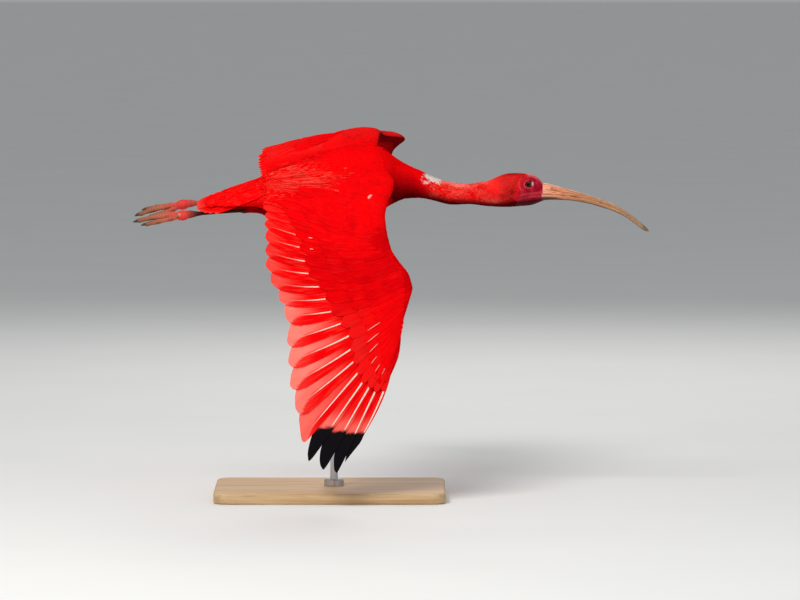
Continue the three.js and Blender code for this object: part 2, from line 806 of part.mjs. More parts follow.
function thighSolid(side) {
  const centres = THIGH.map(([a, b, h]) => onTrunk(a, side * b, h));
  const radii = THIGH.map((row) => row[3]);
  const hock = legPoint(side, HOCK);
  const towardsBody = hock.clone().sub(legPoint(side, BALL)).normalize();
  const whole = tube(centres, radii, LIMB_FLATNESS, THIGH_SIDES);
  const cut = cutAt(whole, towardsBody, hock.addScaledVector(towardsBody, GAP));
  return largest(cut.subtract(fleshForCuts));
}

function shankSolid(side) {
  const from = legPoint(side, HOCK);
  const to = legPoint(side, BALL);
  const end = 1 - GAP / from.distanceTo(to);
  const centres = SHANK.map(([share]) => from.clone().lerp(to, Math.min(share, end)));
  return tube(
    centres,
    SHANK.map((row) => row[1]),
  );
}

// The line of a toe from the ball of the foot to the claw's tip, which bends down
function toeLine(side, toe, share) {
  const a = BALL.a - BALL.along - GAP - (toe.length + CLAW.length) * share;
  const b = side * (BALL.b + toe.spread * Math.sin((share * Math.PI) / 2));
  const drop = side < 0 ? toe.drop.right : toe.drop.left;
  return onTrunk(a, b, BALL.h - drop * share + toe.arch * Math.sin(Math.PI * share));
}

function hindToeLine(side, share) {
  const a = BALL.a - 2 * BALL.along + HIND_TOE.start + HIND_TOE.length * HIND_TOE.slope * share;
  return onTrunk(a, side * (BALL.b - HIND_TOE.inwards), BALL.h - HIND_TOE.under - HIND_TOE.drop * share);
}

// A toe swells at its joints and thins towards the claw
function toeSolid(line, radius, end) {
  const steps = TOE_JOINTS * 2;
  const shares = Array.from({ length: steps + 1 }, (_, k) => (k / steps) * end);
  const radii = shares.map((share) => {
    const joint = 0.5 + 0.5 * Math.cos((share / end) * TOE_JOINTS * 2 * Math.PI);
    return radius * (TOE_SHAPE.between + TOE_SHAPE.joint * joint) * (1 - TOE_SHAPE.taper * share);
  });
  return tube(shares.map(line), radii, LIMB_FLATNESS);
}

function clawSolid(line, radius, from) {
  const shares = [from, from + (1 - from) * 0.5, 1];
  const radii = [radius * CLAW.root, radius * CLAW.middle, CLAW.tip];
  return tube(shares.map(line), radii, CLAW.flatness);
}

function footParts(side) {
  const ball = new THREE.SphereGeometry(1, 12, 8);
  ball.scale(BALL.along, BALL.wide, BALL.high);
  ball.applyMatrix4(attitude);
  const centre = onTrunk(BALL.a - BALL.along - GAP, side * BALL.b, BALL.h);
  ball.translate(...centre.toArray());
  const pieces = [fromGeometry(ball)];
  const claws = [];
  TOES.forEach((toe) => {
    const whole = toe.length + CLAW.length;
    const line = (share) => toeLine(side, toe, share);
    const end = toe.length / whole;
    pieces.push(toeSolid(line, toe.radius, end));
    claws.push([toe.name, clawSolid(line, toe.radius, end + GAP / whole)]);
  });
  const hind = (share) => hindToeLine(side, share);
  pieces.push(toeSolid(hind, HIND_TOE.radius, HIND_TOE.nail));
  claws.push(['hind', clawSolid(hind, HIND_TOE.radius, HIND_TOE.nail + GAP / HIND_TOE.length)]);
  return { foot: largest(fuse(pieces)), claws };
}

function standBase() {
  const outline = new THREE.Shape();
  const [x, y, r] = [BASE_LENGTH / 2 - BASE_BEVEL, BASE_DEPTH / 2 - BASE_BEVEL, BASE_CORNER];
  outline.moveTo(-x + r, -y);
  outline.lineTo(x - r, -y);
  outline.absarc(x - r, -y + r, r, -Math.PI / 2, 0);
  outline.lineTo(x, y - r);
  outline.absarc(x - r, y - r, r, 0, Math.PI / 2);
  outline.lineTo(-x + r, y);
  outline.absarc(-x + r, y - r, r, Math.PI / 2, Math.PI);
  outline.lineTo(-x, -y + r);
  outline.absarc(-x + r, -y + r, r, Math.PI, 1.5 * Math.PI);
  const board = new THREE.ExtrudeGeometry(outline, {
    depth: BASE_HEIGHT - 2 * BASE_BEVEL,
    bevelThickness: BASE_BEVEL,
    bevelSize: BASE_BEVEL,
    bevelSegments: 1,
    curveSegments: 4,
  });
  board.translate(0, 0, BASE_BEVEL);
  return fromGeometry(board);
}

// Collar and rod in one turned piece, its top end cut to the belly
function standRod() {
  const foot = BASE_HEIGHT + GAP - FLYING_HEIGHT;
  const profile = [
    [0, foot],
    [COLLAR_RADIUS, foot],
    [COLLAR_RADIUS, foot + COLLAR_HEIGHT - COLLAR_BEVEL],
    [COLLAR_RADIUS - COLLAR_BEVEL, foot + COLLAR_HEIGHT],
    [ROD_RADIUS, foot + COLLAR_HEIGHT],
    [ROD_RADIUS, 0],
    [0, 0],
  ].map(([radius, z]) => new THREE.Vector2(radius, z));
  const turned = new THREE.LatheGeometry(profile, ROD_SIDES);
  turned.rotateX(Math.PI / 2);
  turned.translate(ROD_X, 0, 0);
  return largest(fromGeometry(turned).subtract(fleshForCuts));
}

const bird = new THREE.Group();
bird.rotation.z = -radians(NOSE_TO_NEAR_SIDE);
bird.position.z = FLYING_HEIGHT;
const ibis = new THREE.Group();
ibis.add(bird);

function place(name, solid, finish, group = bird) {
  const { vertProperties, triVerts } = solid.getMesh();
  const geometry = new THREE.BufferGeometry();
  geometry.setAttribute('position', new THREE.BufferAttribute(new Float32Array(vertProperties), 3));
  geometry.setIndex(new THREE.BufferAttribute(new Uint32Array(triVerts), 1));
  const mesh = new THREE.Mesh(geometry, new THREE.MeshStandardMaterial(finish));
  mesh.name = name;
  group.add(mesh);
}

place('torso', trunkSolid(), SCARLET);
place('neck_lower', stretch(neckPlane(GAP / 2), neckMiddlePlane(-GAP / 2)), SCARLET);
place('neck_upper', stretch(neckMiddlePlane(GAP / 2), headPlane(-GAP / 2)), SCARLET);
place('head', headSolid(), FACE_SKIN);
const nostrils = fuse([nostrilCutter(-1), nostrilCutter(1)]);
place('bill_upper', billHalf(true).subtract(nostrils), BILL_HORN);
place('bill_lower', billHalf(false), BILL_HORN);
place('tail', tailSolid(), SCARLET);
for (const [side, name] of [
  [-1, 'right'],
  [1, 'left'],
]) {
  place(`eye_${name}`, eyeball(side), EYE_DARK);
  const { inner, outer } = wing(side);
  place(`wing_${name}_inner`, inner, SCARLET);
  place(`wing_${name}_outer`, outer, SCARLET);
  place(`thigh_${name}`, thighSolid(side), SCARLET);
  place(`shank_${name}`, shankSolid(side), LEG_SKIN);
  const { foot, claws } = footParts(side);
  place(`foot_${name}`, foot, LEG_SKIN);
  claws.forEach(([toe, claw]) => place(`claw_${name}_${toe}`, claw, CLAW_HORN));
}
place('stand_base', standBase(), PALE_WOOD, ibis);
place('stand_rod', standRod(), BRUSHED_STEEL);

export default ibis;
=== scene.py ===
import copy
import math
from functools import partial

import bpy
import numpy as np
from mathutils import Matrix, Vector


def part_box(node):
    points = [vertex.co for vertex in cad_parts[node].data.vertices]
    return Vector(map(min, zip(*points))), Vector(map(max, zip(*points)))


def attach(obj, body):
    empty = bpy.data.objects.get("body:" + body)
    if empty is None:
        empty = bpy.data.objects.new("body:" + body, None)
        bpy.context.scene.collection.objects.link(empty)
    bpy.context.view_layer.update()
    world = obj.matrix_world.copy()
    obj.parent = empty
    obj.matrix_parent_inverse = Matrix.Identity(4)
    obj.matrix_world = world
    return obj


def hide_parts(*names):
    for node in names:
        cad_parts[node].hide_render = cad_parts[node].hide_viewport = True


# A scarlet ibis in level flight on a plain display stand. Lengths are millimetres until a mesh is
# made, in the bird's own axes: forward, to its left side, up, from the middle of its trunk.
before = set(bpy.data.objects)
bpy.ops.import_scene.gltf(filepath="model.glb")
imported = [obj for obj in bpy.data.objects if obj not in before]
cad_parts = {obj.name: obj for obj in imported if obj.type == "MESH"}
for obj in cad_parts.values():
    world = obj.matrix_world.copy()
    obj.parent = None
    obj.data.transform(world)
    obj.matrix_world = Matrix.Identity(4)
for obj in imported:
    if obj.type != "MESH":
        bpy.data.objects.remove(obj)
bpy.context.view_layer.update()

MM = 0.001
SEED = 20

# Attitude of the body in degrees
NOSE_UP = 8
BANK = 31
NOSE_TO_NEAR_SIDE = 3

# Trunk in its own axes: forward, centre up, height over and under the centre, half width
TRUNK = [
    (-150, 6.5, 2.6, 3, 13), (-130, 9, 6, 6, 18.5), (-110, 10, 10, 10.5, 22),
    (-91, 10, 15, 16, 25.5), (-65, 8, 28, 28, 37), (-35, 6, 38, 39, 46), (0, 6, 44, 47, 50),
    (30, 8, 46, 50, 49), (55, 9, 43, 47, 45), (73, 10.5, 37, 40, 38),
]
# Neck and head, level: forward, top, underside, half width, share of the trunk's bank
NECK_AND_HEAD = [
    (91, 40.5, -12, 26, 0.7), (105, 31.5, -10, 19.5, 0.35), (120, 24.5, -10, 15.5, 0.1),
    (135, 17, -13, 13, 0), (156, 10.5, -18, 12, 0), (182, 8.5, -17.5, 11.5, 0),
    (196, 11, -19, 12.3, 0), (204, 12, -20, 13, 0), (212, 15, -20.5, 14.5, 0),
    (221, 19, -21, 16.2, 0), (231, 21.8, -21, 17.3, 0), (242, 22.4, -20.5, 17.6, 0),
    (252, 22, -20, 16.8, 0), (261, 21, -19, 15, 0), (267, 18.9, -17.2, 13.2, 0),
    (271, 16.1, -15.6, 11.2, 0), (274, 13.1, -14.3, 9.4, 0), (276.5, 9.9, -13.2, 7.8, 0),
    (278.5, 6.4, -12.6, 6.2, 0), (282, 1, -12.1, 4.4, 0), (290, -3, -11.8, 2.8, 0),
]
FACE_FRONT = 290
# Bill: forward, top, line between the halves, underside, half width
BILL = [
    (276.4, 10.2, -4.6, -12.7, 7.8), (293, 6.3, -5, -12, 6.4), (313, 0.9, -6.8, -12.9, 4.9),
    (333, -4.7, -9.8, -16.1, 4), (353, -11.1, -15.6, -21.5, 3.5), (369, -17.3, -21.5, -26.9, 3.2),
    (383, -25.3, -29.3, -33.4, 3), (397, -35.2, -39.3, -43.2, 2.7), (407, -43.6, -47.4, -50.8, 2.2),
    (414.5, -50.9, -52.2, -53.4, 0.9),
]
EYE_X, EYE_Z, EYE_OUT, EYE_RADIUS = 259.4, 8.8, 9.6, 6.2
# How far the iris sits behind the middle of the lids' opening
EYE_BACK = 0.9
# Half length and half height of the lids' opening
LID_LONG, LID_HIGH = 5.6, 4.5
MOUTH_LINE = [(241.5, -11), (254, -6.7), (266, -5.2), (280, -4.2)]
# Where the bare skin of the face begins: height, forward
FACE_EDGE = [(-21, 247), (-11, 239), (0, 242.5), (8.8, 245.5), (14, 248.5), (18, 252.5), (22.4, 257)]

# Wing arch seen from the front: start beside the spine, and droop in degrees along the span
SHOULDER_OUT, SHOULDER_UP = 35, 32
DROOP = [
    (-20, 0), (0, 0), (30, 13), (67, 36), (90, 39), (160, 43), (200, 49), (250, 50.5), (400, 54.5),
]
ARCH_END = 420
# Camber, full where the wing is at least twice the second length from front to back
WING_CAMBER, FULL_CAMBER_HALF = 5.5, 85
# Edges of the wing: along the span, forward
LEADING_EDGE = [
    (-30, 84), (28, 84), (50, 77.5), (70, 72.5), (112, 75.6), (130, 83.7), (146, 93), (158, 95.8),
    (168, 96.5), (182, 91), (212, 77.8), (251, 67.5), (283, 49), (310, 34), (351, 11), (390, -14),
]
TRAILING_EDGE = [(-30, -94), (90, -88), (200, -68), (330, -68), (390, -40)]
# Flesh of the arm and hand: along the span, length front to back, thickness over and under
ARM = [
    (-22, 78, 3.5, 9), (8, 76, 7, 9), (35, 70, 7.6, 7), (62, 64, 6.8, 6.5), (92, 62, 6.8, 6),
    (120, 58, 7, 5.5), (145, 52, 6.6, 5), (163, 44, 6.2, 4.6), (185, 40, 5.4, 4),
    (212, 36, 4.8, 3.6), (240, 32, 4.2, 3.2), (265, 27, 3.4, 2.8), (286, 18, 2.2, 2),
]
# How full the arm's section is, its height at the rear edge, and where its end is rounded off
ARM_FULLNESS, ARM_REAR, ARM_END = 2.6, 0.7, (290, 278)
# Along the span: where the baked map of the arm begins, and how much it spans
MAP_SPAN_FROM, MAP_SPAN = -30, 460
# Where the front of each wing runs into the shoulder: along the span, and forward from the edge above
ROOT_SHIFT = {
    -1: [(-30, -16), (-8, -3), (12, 4), (28, 2.5), (50, 0)],
    1: [(-30, -18), (0, -16), (28, -13), (50, -6), (70, 0)],
}
# The far wing's innermost feathers go on to the spine and reach further back
FAR_INNERMOST, NEAR_INNERMOST = -4, 0
FAR_REACH = 6

# Flight feathers from the body outwards, numbered from 0: 3 tertials, 10 secondaries, 10 primaries
FIRST_PRIMARY, LAST_FEATHER = 13, 22
# Each row gives feather number, place along the span, place forward
FEATHER_ROOTS = [(-4, -27, 18), (0, 26, 18), (3, 66, 16), (12, 153, 71), (13, 171, 73), (22, 257, 60)]
FEATHER_KNEES = [
    (-4, -34, -50), (0, -2, -50), (3, 24, -50), (7, 78, -43), (9, 114.6, -35), (10, 131.5, -31.6),
    (11, 150.3, -20.9), (12, 167, -14), (13, 183.8, -8.8), (15, 217, 10), (16, 234.6, 8.9),
    (17, 250.6, 10.4), (18, 265.8, 13.3), (19, 278, 18), (20, 286, 24.8), (21, 292, 32),
    (22, 293, 42.6),
]
FEATHER_TIPS = [
    (-4, -30, -80), (0, -8, -82.5), (3, 10, -83), (7, 56, -83.5), (8, 73, -84.8),
    (10, 111.5, -87.3), (11, 134.3, -82.7), (12, 157.9, -77.7), (13, 180.5, -70.2), (14, 213, -73),
    (15, 239.4, -74.6), (16, 269.7, -76.2), (17, 299.8, -73.7), (18, 340, -70), (19, 367.5, -64),
    (20, 381.5, -47.5), (21, 389.5, -31.5), (22, 375, -17),
]
FEATHER_SPOTS = (FEATHER_ROOTS, FEATHER_KNEES, FEATHER_TIPS)
# How much higher a vane's outer edge lies than its shaft, over the next feather out
NEIGHBOUR_LIFT = 0.75
# Outline of a vane from root to tip: share of its length, width towards the body, width outwards
ROUND_VANE = [
    (0, 0.26, 0.26), (0.18, 0.6, 0.42), (0.5, 1.02, 0.52), (0.8, 1.03, 0.52), (0.9, 0.9, 0.46),
    (0.955, 0.68, 0.36), (0.985, 0.4, 0.22), (1, 0.06, 0.05),
]
POINTED_VANE = [
    (0, 0.26, 0.26), (0.2, 0.62, 0.4), (0.5, 1, 0.32), (0.76, 0.98, 0.2), (0.87, 0.82, 0.16),
    (0.95, 0.48, 0.12), (0.985, 0.24, 0.08), (1, 0.05, 0.04),
]
# The last rounded feather, broad to its tip beside the pointed ones
BROAD_VANE = [
    (0, 0.26, 0.26), (0.2, 0.62, 0.4), (0.5, 1.02, 0.42), (0.76, 1.06, 0.34), (0.87, 1.02, 0.3),
    (0.95, 0.84, 0.26), (0.985, 0.56, 0.2), (1, 0.1, 0.08),
]
FIRST_POINTED = 19
# The outermost vane: narrow beside its shaft, and broader again at the tip
EDGE_VANE_SHARE, EDGE_VANE_SPREAD = 0.72, 2.4
# Outlines of coverts and of small feathers
COVERT_VANE = [(0, 0.35, 0.35), (0.35, 0.8, 0.52), (0.75, 0.86, 0.54), (0.92, 0.6, 0.38), (1, 0.08, 0.06)]
TUFT_VANE = [(0, 0.3, 0.3), (0.3, 0.85, 0.85), (0.6, 1, 1), (0.84, 0.78, 0.78), (1, 0.1, 0.1)]
# Where the black of the outer feathers begins along the span
BLACK_FROM = [(19, 329.4), (20, 336.6), (21, 342), (22, 343)]
# How strongly the free parts of the flight feathers pale to coral: painted glow of light through the thin
# vanes
CORAL_AMOUNT = [
    (3, 0), (5, 0.03), (7, 0.07), (9, 0.12), (11, 0.3), (12, 0.5), (13, 0.75), (14, 0.95), (16, 1),
    (17, 0.8), (18, 0.55), (19, 0.22), (20, 0.1), (22, 0.05),
]
# Ivory of the shafts: feather, amount, share of the free part where it starts to fade and where it ends
IVORY = [
    (6.3, 0.0, 0.0, 0.1), (7, 0.85, 0.01, 0.13), (8, 0.95, 0.03, 0.2), (9, 1.0, 0.1, 0.42),
    (12, 1.0, 0.18, 0.55), (14, 1.0, 0.28, 0.75), (16, 1.0, 0.36, 0.82), (18, 1.0, 0.6, 0.95),
    (19, 1.0, 0.6, 0.72), (22, 1.0, 0.66, 0.76),
]

# Tail: place along the trunk with the height of its middle pair
TAIL_LINE = [(-175, 4.6), (-158, 6), (-136, 8.2), (-108, 10.5), (-80, 12)]
TAIL_FEATHERS = 6
TAIL_VANE = [
    (0, 0.3, 0.3), (0.2, 0.7, 0.6), (0.6, 1, 0.8), (0.93, 1, 0.8), (0.97, 0.92, 0.74),
    (0.99, 0.74, 0.6), (1, 0.5, 0.4),
]

# Legs, in the trunk's axes: the thigh's middle line with its radius, the joints, then the foot
THIGH = [
    (-14, 16, -10, 5), (-24, 20, -17, 11), (-38, 23.5, -23, 15.5), (-56, 20.5, -17.5, 16),
    (-74, 16.5, -11.5, 12), (-90, 13.2, -6.8, 6.6), (-101, 11.8, -5.4, 5.2),
    (-113, 10.9, -5.3, 4.2),
]
HOCK = (-110, 11, -5.5)
BALL = (-184, 12.8, 0.6)
BALL_LONG, BALL_WIDE, BALL_HIGH = 9.5, 7.2, 6.6
# Share of the way from hock to foot, and radius
SHANK = [(0, 4.2), (0.06, 4.5), (0.13, 2.8), (0.5, 2.3), (0.8, 2.4), (0.88, 3.1), (0.94, 4.1), (1, 5.2)]
# Length, spread from the ball's line, upward arch on each foot, radius, and drop of the tip on each foot
TOES = [
    (44, -5.6, (3.4, -1.6), 4.2, (2, 8.5)),
    (60, 1.1, (3.6, 3), 4.4, (-0.6, 8.6)),
    (50, 6.8, (0.6, 0.6), 4.2, (2, 4.6)),
]
# Hind toe, folded against the outer side of the foot: length, radius, share at which the claw begins
HIND_LENGTH, HIND_RADIUS, HIND_NAIL = 11, 3, 0.8
# The hind toe's way on each foot: back, outwards and up for each millimetre of its length
HIND_WAY = {-1: (-0.55, 0.62, 0.6), 1: (-0.85, 0.5, -0.15)}
# How much a toe narrows towards its tip, and widens at its root
TOE_TAPER, TOE_FLARE = 0.26, 0.16
CLAW_LENGTH = 6
TOE_GAP = 0.3
# Share of the shank's length by which its skin runs on into the foot
FOOT_OVERLAP = 0.12
# Where the rosy tone of the ball of the foot lies on the leg's ramp of colours
BALL_TONE = 0.16
SIDES = (("right", -1), ("left", 1))


def turn(axis, degrees):
    return np.array(Matrix.Rotation(math.radians(degrees), 3, axis))


ATTITUDE = turn("Y", -NOSE_UP) @ turn("X", BANK)
FORWARD, FAR, UP = ATTITUDE.T
HEADING = turn("Z", -NOSE_TO_NEAR_SIDE)
eye_low, eye_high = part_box("eye_right")
FLYING_HEIGHT = (eye_low[2] + eye_high[2]) / 2 / MM - EYE_Z


def on_trunk(a, b, h):
    """Points given along the trunk's own axes, as level ones."""
    a, b, h = np.broadcast_arrays(a, b, h)
    return a[..., None] * FORWARD + b[..., None] * FAR + h[..., None] * UP


def to_frame(points):
    """Level points in millimetres as points of the shared frame in metres."""
    return (points @ HEADING.T + (0, 0, FLYING_HEIGHT)) * MM


def along(rows, x, column=1):
    """A smooth curve through rows of (place, value, ...): the value in a column at x."""
    rows = np.asarray(rows, float)
    place, value = rows[:, 0], rows[:, column]
    last = len(rows) - 1
    i = np.arange(len(rows))
    low, high = np.maximum(i - 1, 0), np.minimum(i + 1, last)
    slope = (value[high] - value[low]) / (place[high] - place[low])
    x = np.asarray(x, float)
    k = np.clip(np.searchsorted(place, x) - 1, 0, last - 1)
    width = place[k + 1] - place[k]
    t = (x - place[k]) / width
    bend = t * t * (3 - 2 * t)
    curve = value[k] * (1 - bend) + value[k + 1] * bend
    curve = curve + slope[k] * width * t * (1 - t) ** 2 - slope[k + 1] * width * t * t * (1 - t)
    before = value[k] + slope[k] * (x - place[k])
    after = value[k + 1] + slope[k + 1] * (x - place[k + 1])
    return np.where(t < 0, before, np.where(t > 1, after, curve))


def straight(rows, x, column=1):
    """Straight lines through rows of (place, value, ...), level beyond the ends."""
    rows = np.asarray(rows, float)
    return np.interp(x, rows[:, 0], rows[:, column])


def smooth_step(low, high, x):
    t = np.clip((np.asarray(x, float) - low) / (high - low), 0, 1)
    return t * t * (3 - 2 * t)


def bump_at(x, centre, width):
    return np.exp(-(((x - centre) / width) ** 2))


def around(sides):
    """Even steps of angle round a ring."""
    return np.linspace(0, 2 * np.pi, sides, endpoint=False)


MAP_MARGIN = 0.02


def in_map(share):
    """A share of the way across the baked map, kept off its edges."""
    return MAP_MARGIN + (1 - 2 * MAP_MARGIN) * share


def draws(piece):
    """The seeded random numbers of one piece."""
    return np.random.default_rng([SEED, piece])


RIPPLE_WAVES, RIPPLE_HEIGHT = 7, 3.2
RIPPLE_SEEDS = 1000


def ripple(x, y, z, scale, seed):
    """A soft seeded pattern between about -1 and 1, of sines in several directions."""
    rng = draws(RIPPLE_SEEDS + seed)
    total = 0
    for _ in range(RIPPLE_WAVES):
        way = rng.normal(size=3)
        way /= np.linalg.norm(way)
        pitch = scale * rng.uniform(0.6, 1.6)
        phase = rng.uniform(0, 2 * np.pi)
        total = total + np.sin((x * way[0] + y * way[1] + z * way[2]) * 2 * np.pi / pitch + phase)
    return total / RIPPLE_HEIGHT


# Angle in degrees past which an edge between two faces is drawn sharp
CREASE = 50


class Form:
    """Points, faces and what each point carries, gathered into one piece."""

    def __init__(self, name):
        self.name = name
        self.points, self.quads, self.tris, self.patch = [], [], [], []
        self.carried = {}
        self.count = 0

    def add(self, points, quads, tris, patch, **carried):
        """Closed bodies: level points, faces by number, their place on the baked map, and values."""
        points = points.reshape(-1, 3)
        corner = points[quads[:, 0]]
        first = np.cross(points[quads[:, 1]] - corner, points[quads[:, 2]] - corner)
        second = np.cross(points[quads[:, 2]] - corner, points[quads[:, 3]] - corner)
        volume = (corner * (first + second)).sum()
        volume += (points[tris[:, 0]] * np.cross(points[tris[:, 1]], points[tris[:, 2]])).sum()
        if volume < 0:
            quads, tris = quads[:, ::-1], tris[:, ::-1]
        self.points.append(points)
        self.quads.append(quads + self.count)
        self.tris.append(tris + self.count)
        self.patch.append(patch)
        for key, value in carried.items():
            self.carried.setdefault(key, []).append(value)
        self.count += len(points)

    def add_rings(self, points, u, v, **carried):
        """One closed body of rings of points, with map places and values by ring and side."""
        shape = points.shape[:2]
        quads, tris = ring_faces(*shape)
        patch = np.stack([np.broadcast_to(u, shape), np.broadcast_to(v, shape)], -1).reshape(-1, 2)
        values = {key: np.broadcast_to(value, shape).ravel() for key, value in carried.items()}
        self.add(points, quads, tris, patch, **values)

    def build(self, finish, replaced=(), crease=CREASE):
        """The piece's mesh, with its map and carried values, riding on the root body."""
        points = to_frame(np.concatenate(self.points))
        quads = np.concatenate(self.quads)
        tris = np.concatenate(self.tris)
        corners = np.concatenate([quads.ravel(), tris.ravel()]).astype(np.int32)
        starts = np.concatenate([np.arange(len(quads)) * 4, len(quads) * 4 + np.arange(len(tris)) * 3])
        mesh = bpy.data.meshes.new(self.name)
        mesh.vertices.add(len(points))
        mesh.vertices.foreach_set("co", points.astype(np.float32).ravel())
        mesh.loops.add(len(corners))
        mesh.loops.foreach_set("vertex_index", corners)
        mesh.polygons.add(len(starts))
        mesh.polygons.foreach_set("loop_start", starts.astype(np.int32))
        mesh.update(calc_edges=True)
        layer = mesh.uv_layers.new(name="OFBake")
        patch = np.concatenate(self.patch)[corners]
        layer.data.foreach_set("uv", patch.astype(np.float32).ravel())
        for key, values in self.carried.items():
            attribute = mesh.attributes.new(key, "FLOAT", "POINT")
            attribute.data.foreach_set("value", np.concatenate(values).astype(np.float32))
        mesh.polygons.foreach_set("use_smooth", np.ones(len(starts), bool))
        mesh.set_sharp_from_angle(angle=math.radians(crease))
        mesh.materials.append(finish.material)
        piece = bpy.data.objects.new(self.name, mesh)
        bpy.context.scene.collection.objects.link(piece)
        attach(piece, "root")
        if replaced:
            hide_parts(*replaced)


def ring_faces(rows, sides, bodies=1):
    """Faces of closed bodies made of rings, with fans over their two ends."""
    k, j = np.meshgrid(np.arange(rows - 1), np.arange(sides), indexing="ij")
    k, j = k.ravel(), j.ravel()
    ahead = (j + 1) % sides
    quads = np.stack([k * sides + j, k * sides + ahead, (k + 1) * sides + ahead, (k + 1) * sides + j], 1)
    i = np.arange(1, sides - 1)
    start = np.stack([np.zeros_like(i), i + 1, i], 1)
    end = np.stack([np.zeros_like(i), i, i + 1], 1) + (rows - 1) * sides
    tris = np.concatenate([start, end])
    offset = np.arange(bodies)[:, None, None] * rows * sides
    return (quads[None] + offset).reshape(-1, 4), (tris[None] + offset).reshape(-1, 3)


class Rings:
    """A smooth surface through oval rings, by the distance along it and the angle round it."""

    # Steps between two given rings
    STEPS = 24

    def __init__(self, rows):
        table = np.array([np.concatenate([c, s, u, sizes]) for c, s, u, sizes in rows], float)
        index = np.arange(len(table))
        fine = np.linspace(0, len(table) - 1, (len(table) - 1) * self.STEPS + 1)
        columns = [along(np.column_stack([index, table[:, k]]), fine) for k in range(table.shape[1])]
        self.table = np.stack(columns, 1)
        steps = np.linalg.norm(np.diff(self.table[:, :3], axis=0), axis=1)
        self.distance = np.concatenate([[0], np.cumsum(steps)])
        self.length = self.distance[-1]

    def at_forward(self, x):
        """The distance along at which the middle line passes a place forward."""
        centre = self.table[:, 0]
        order = np.argsort(centre)
        return np.interp(x, centre[order], self.distance[order])

    def read(self, g):
        """Middle, side way, up way and sizes at a distance along."""
        values = [np.interp(g, self.distance, self.table[:, k]) for k in range(self.table.shape[1])]
        values = np.stack(values, -1)
        return values[..., 0:3], values[..., 3:6], values[..., 6:9], values[..., 9:]

    def reversed(self):
        """The same surface with its distances counted from the other end."""
        turned = copy.copy(self)
        turned.table = self.table[::-1]
        turned.distance = self.length - self.distance[::-1]
        return turned

    def radius(self, g, angle):
        """How far a radian goes on the surface there."""
        _, _, _, size = self.read(g)
        rise = np.where(np.sin(angle) > 0, size[..., 1], size[..., 2])
        return np.hypot(size[..., 0] * np.sin(angle), rise * np.cos(angle))

    def at(self, g, angle, lift=0.0):
        """A point of the surface, or off it by a lift."""
        g, angle, lift = np.broadcast_arrays(g, angle, lift)
        centre, side, up, size = self.read(g)
        rise = np.where(np.sin(angle) > 0, size[..., 1], size[..., 2])
        cos, sin = np.cos(angle), np.sin(angle)
        wide = size[..., 0]
        level, upright = cos / wide, sin / rise
        length = np.hypot(level, upright)
        level = wide * cos + lift * level / length
        upright = rise * sin + lift * upright / length
        return centre + side * level[..., None] + up * upright[..., None]


def body_rings():
    """Trunk, neck and head, with the trunk's bank let out along the neck."""
    rows = [(on_trunk(a, 0, h), FAR, UP, (wide, high, deep)) for a, h, high, deep, wide in TRUNK]
    for x, top, under, wide, bank in NECK_AND_HEAD:
        half = (top - under) / 2
        centre = np.array([x, TRUNK[0][1] * bank * UP[1], (top + under) / 2])
        side = np.array([0, 1, 0]) * (1 - bank) + FAR * bank
        side = side / np.linalg.norm(side)
        up = np.array([0, 0, 1]) * (1 - bank) + UP * bank
        up = up - side * (up @ side)
        rows.append((centre, side, up / np.linalg.norm(up), (wide, half, half)))
    return Rings(rows)


def leg_rings(side):
    """The feathered thigh, from the knee in the belly to the hock."""
    centres = [on_trunk(a, side * b, h) for a, b, h, _ in THIGH]
    last = len(THIGH) - 1
    rows = []
    for k, centre in enumerate(centres):
        wide = THIGH[k][3]
        ahead = centres[min(k + 1, last)] - centres[max(k - 1, 0)]
        ahead = ahead / np.linalg.norm(ahead)
        across = np.cross(UP, ahead)
        across = across / np.linalg.norm(across)
        rows.append((centre, across, np.cross(ahead, across), (wide, wide * 0.9, wide * 0.9)))
    return Rings(rows)


BODY = body_rings()
LEGS = {side: leg_rings(side) for _, side in SIDES}

# The wing arch: places out and up at each millimetre of the span
arch_steps = np.arange(DROOP[0][0], ARCH_END)
arch_droop = np.radians(along(DROOP, arch_steps + 0.5))
ARCH_SPAN = np.append(arch_steps, ARCH_END)
ARCH_OUT = SHOULDER_OUT + DROOP[0][0] + np.concatenate([[0], np.cumsum(np.cos(arch_droop))])
ARCH_UP = SHOULDER_UP - np.concatenate([[0], np.cumsum(np.sin(arch_droop))])


def on_wing(side, s, a, lift):
    """A point of the wing: along the span, forward, and lift off the wing's own arched surface."""
    s, a, lift = np.broadcast_arrays(s, a, lift)
    front, rear = along(LEADING_EDGE, s), along(TRAILING_EDGE, s)
    half = (front - rear) / 2
    full = WING_CAMBER * np.minimum(1, half / FULL_CAMBER_HALF)
    camber = full * (1 - ((a - (front + rear) / 2) / half) ** 2)
    rise = lift + np.maximum(camber, -WING_CAMBER)
    out = np.interp(s, ARCH_SPAN, ARCH_OUT) + np.minimum(s - ARCH_SPAN[0], 0)
    up = np.interp(s, ARCH_SPAN, ARCH_UP)
    droop = np.radians(along(DROOP, np.clip(s, ARCH_SPAN[0], DROOP[-1][0])))
    return on_trunk(a, side * (out + rise * np.sin(droop)), up + rise * np.cos(droop))


def front_edge(side, s):
    """Place forward of the arm's front, which runs into the shoulder beside the body."""
    return along(LEADING_EDGE, s) + straight(ROOT_SHIFT[side], s)


def arm_height(side, s, a, face):
    """How far the flesh of the arm stands off the wing's surface, over it (1) or under it (-1)."""
    back = front_edge(side, s) - a
    chord = np.maximum(straight(ARM, s, 1), 1)
    c = np.sqrt(np.clip(back / chord, 0, 1))
    thick = straight(ARM, s, 2 if face > 0 else 3)
    end = smooth_step(*ARM_END, s)
    return (thick * ARM_FULLNESS * c * (1 - c * c) + ARM_REAR * c * c) * end


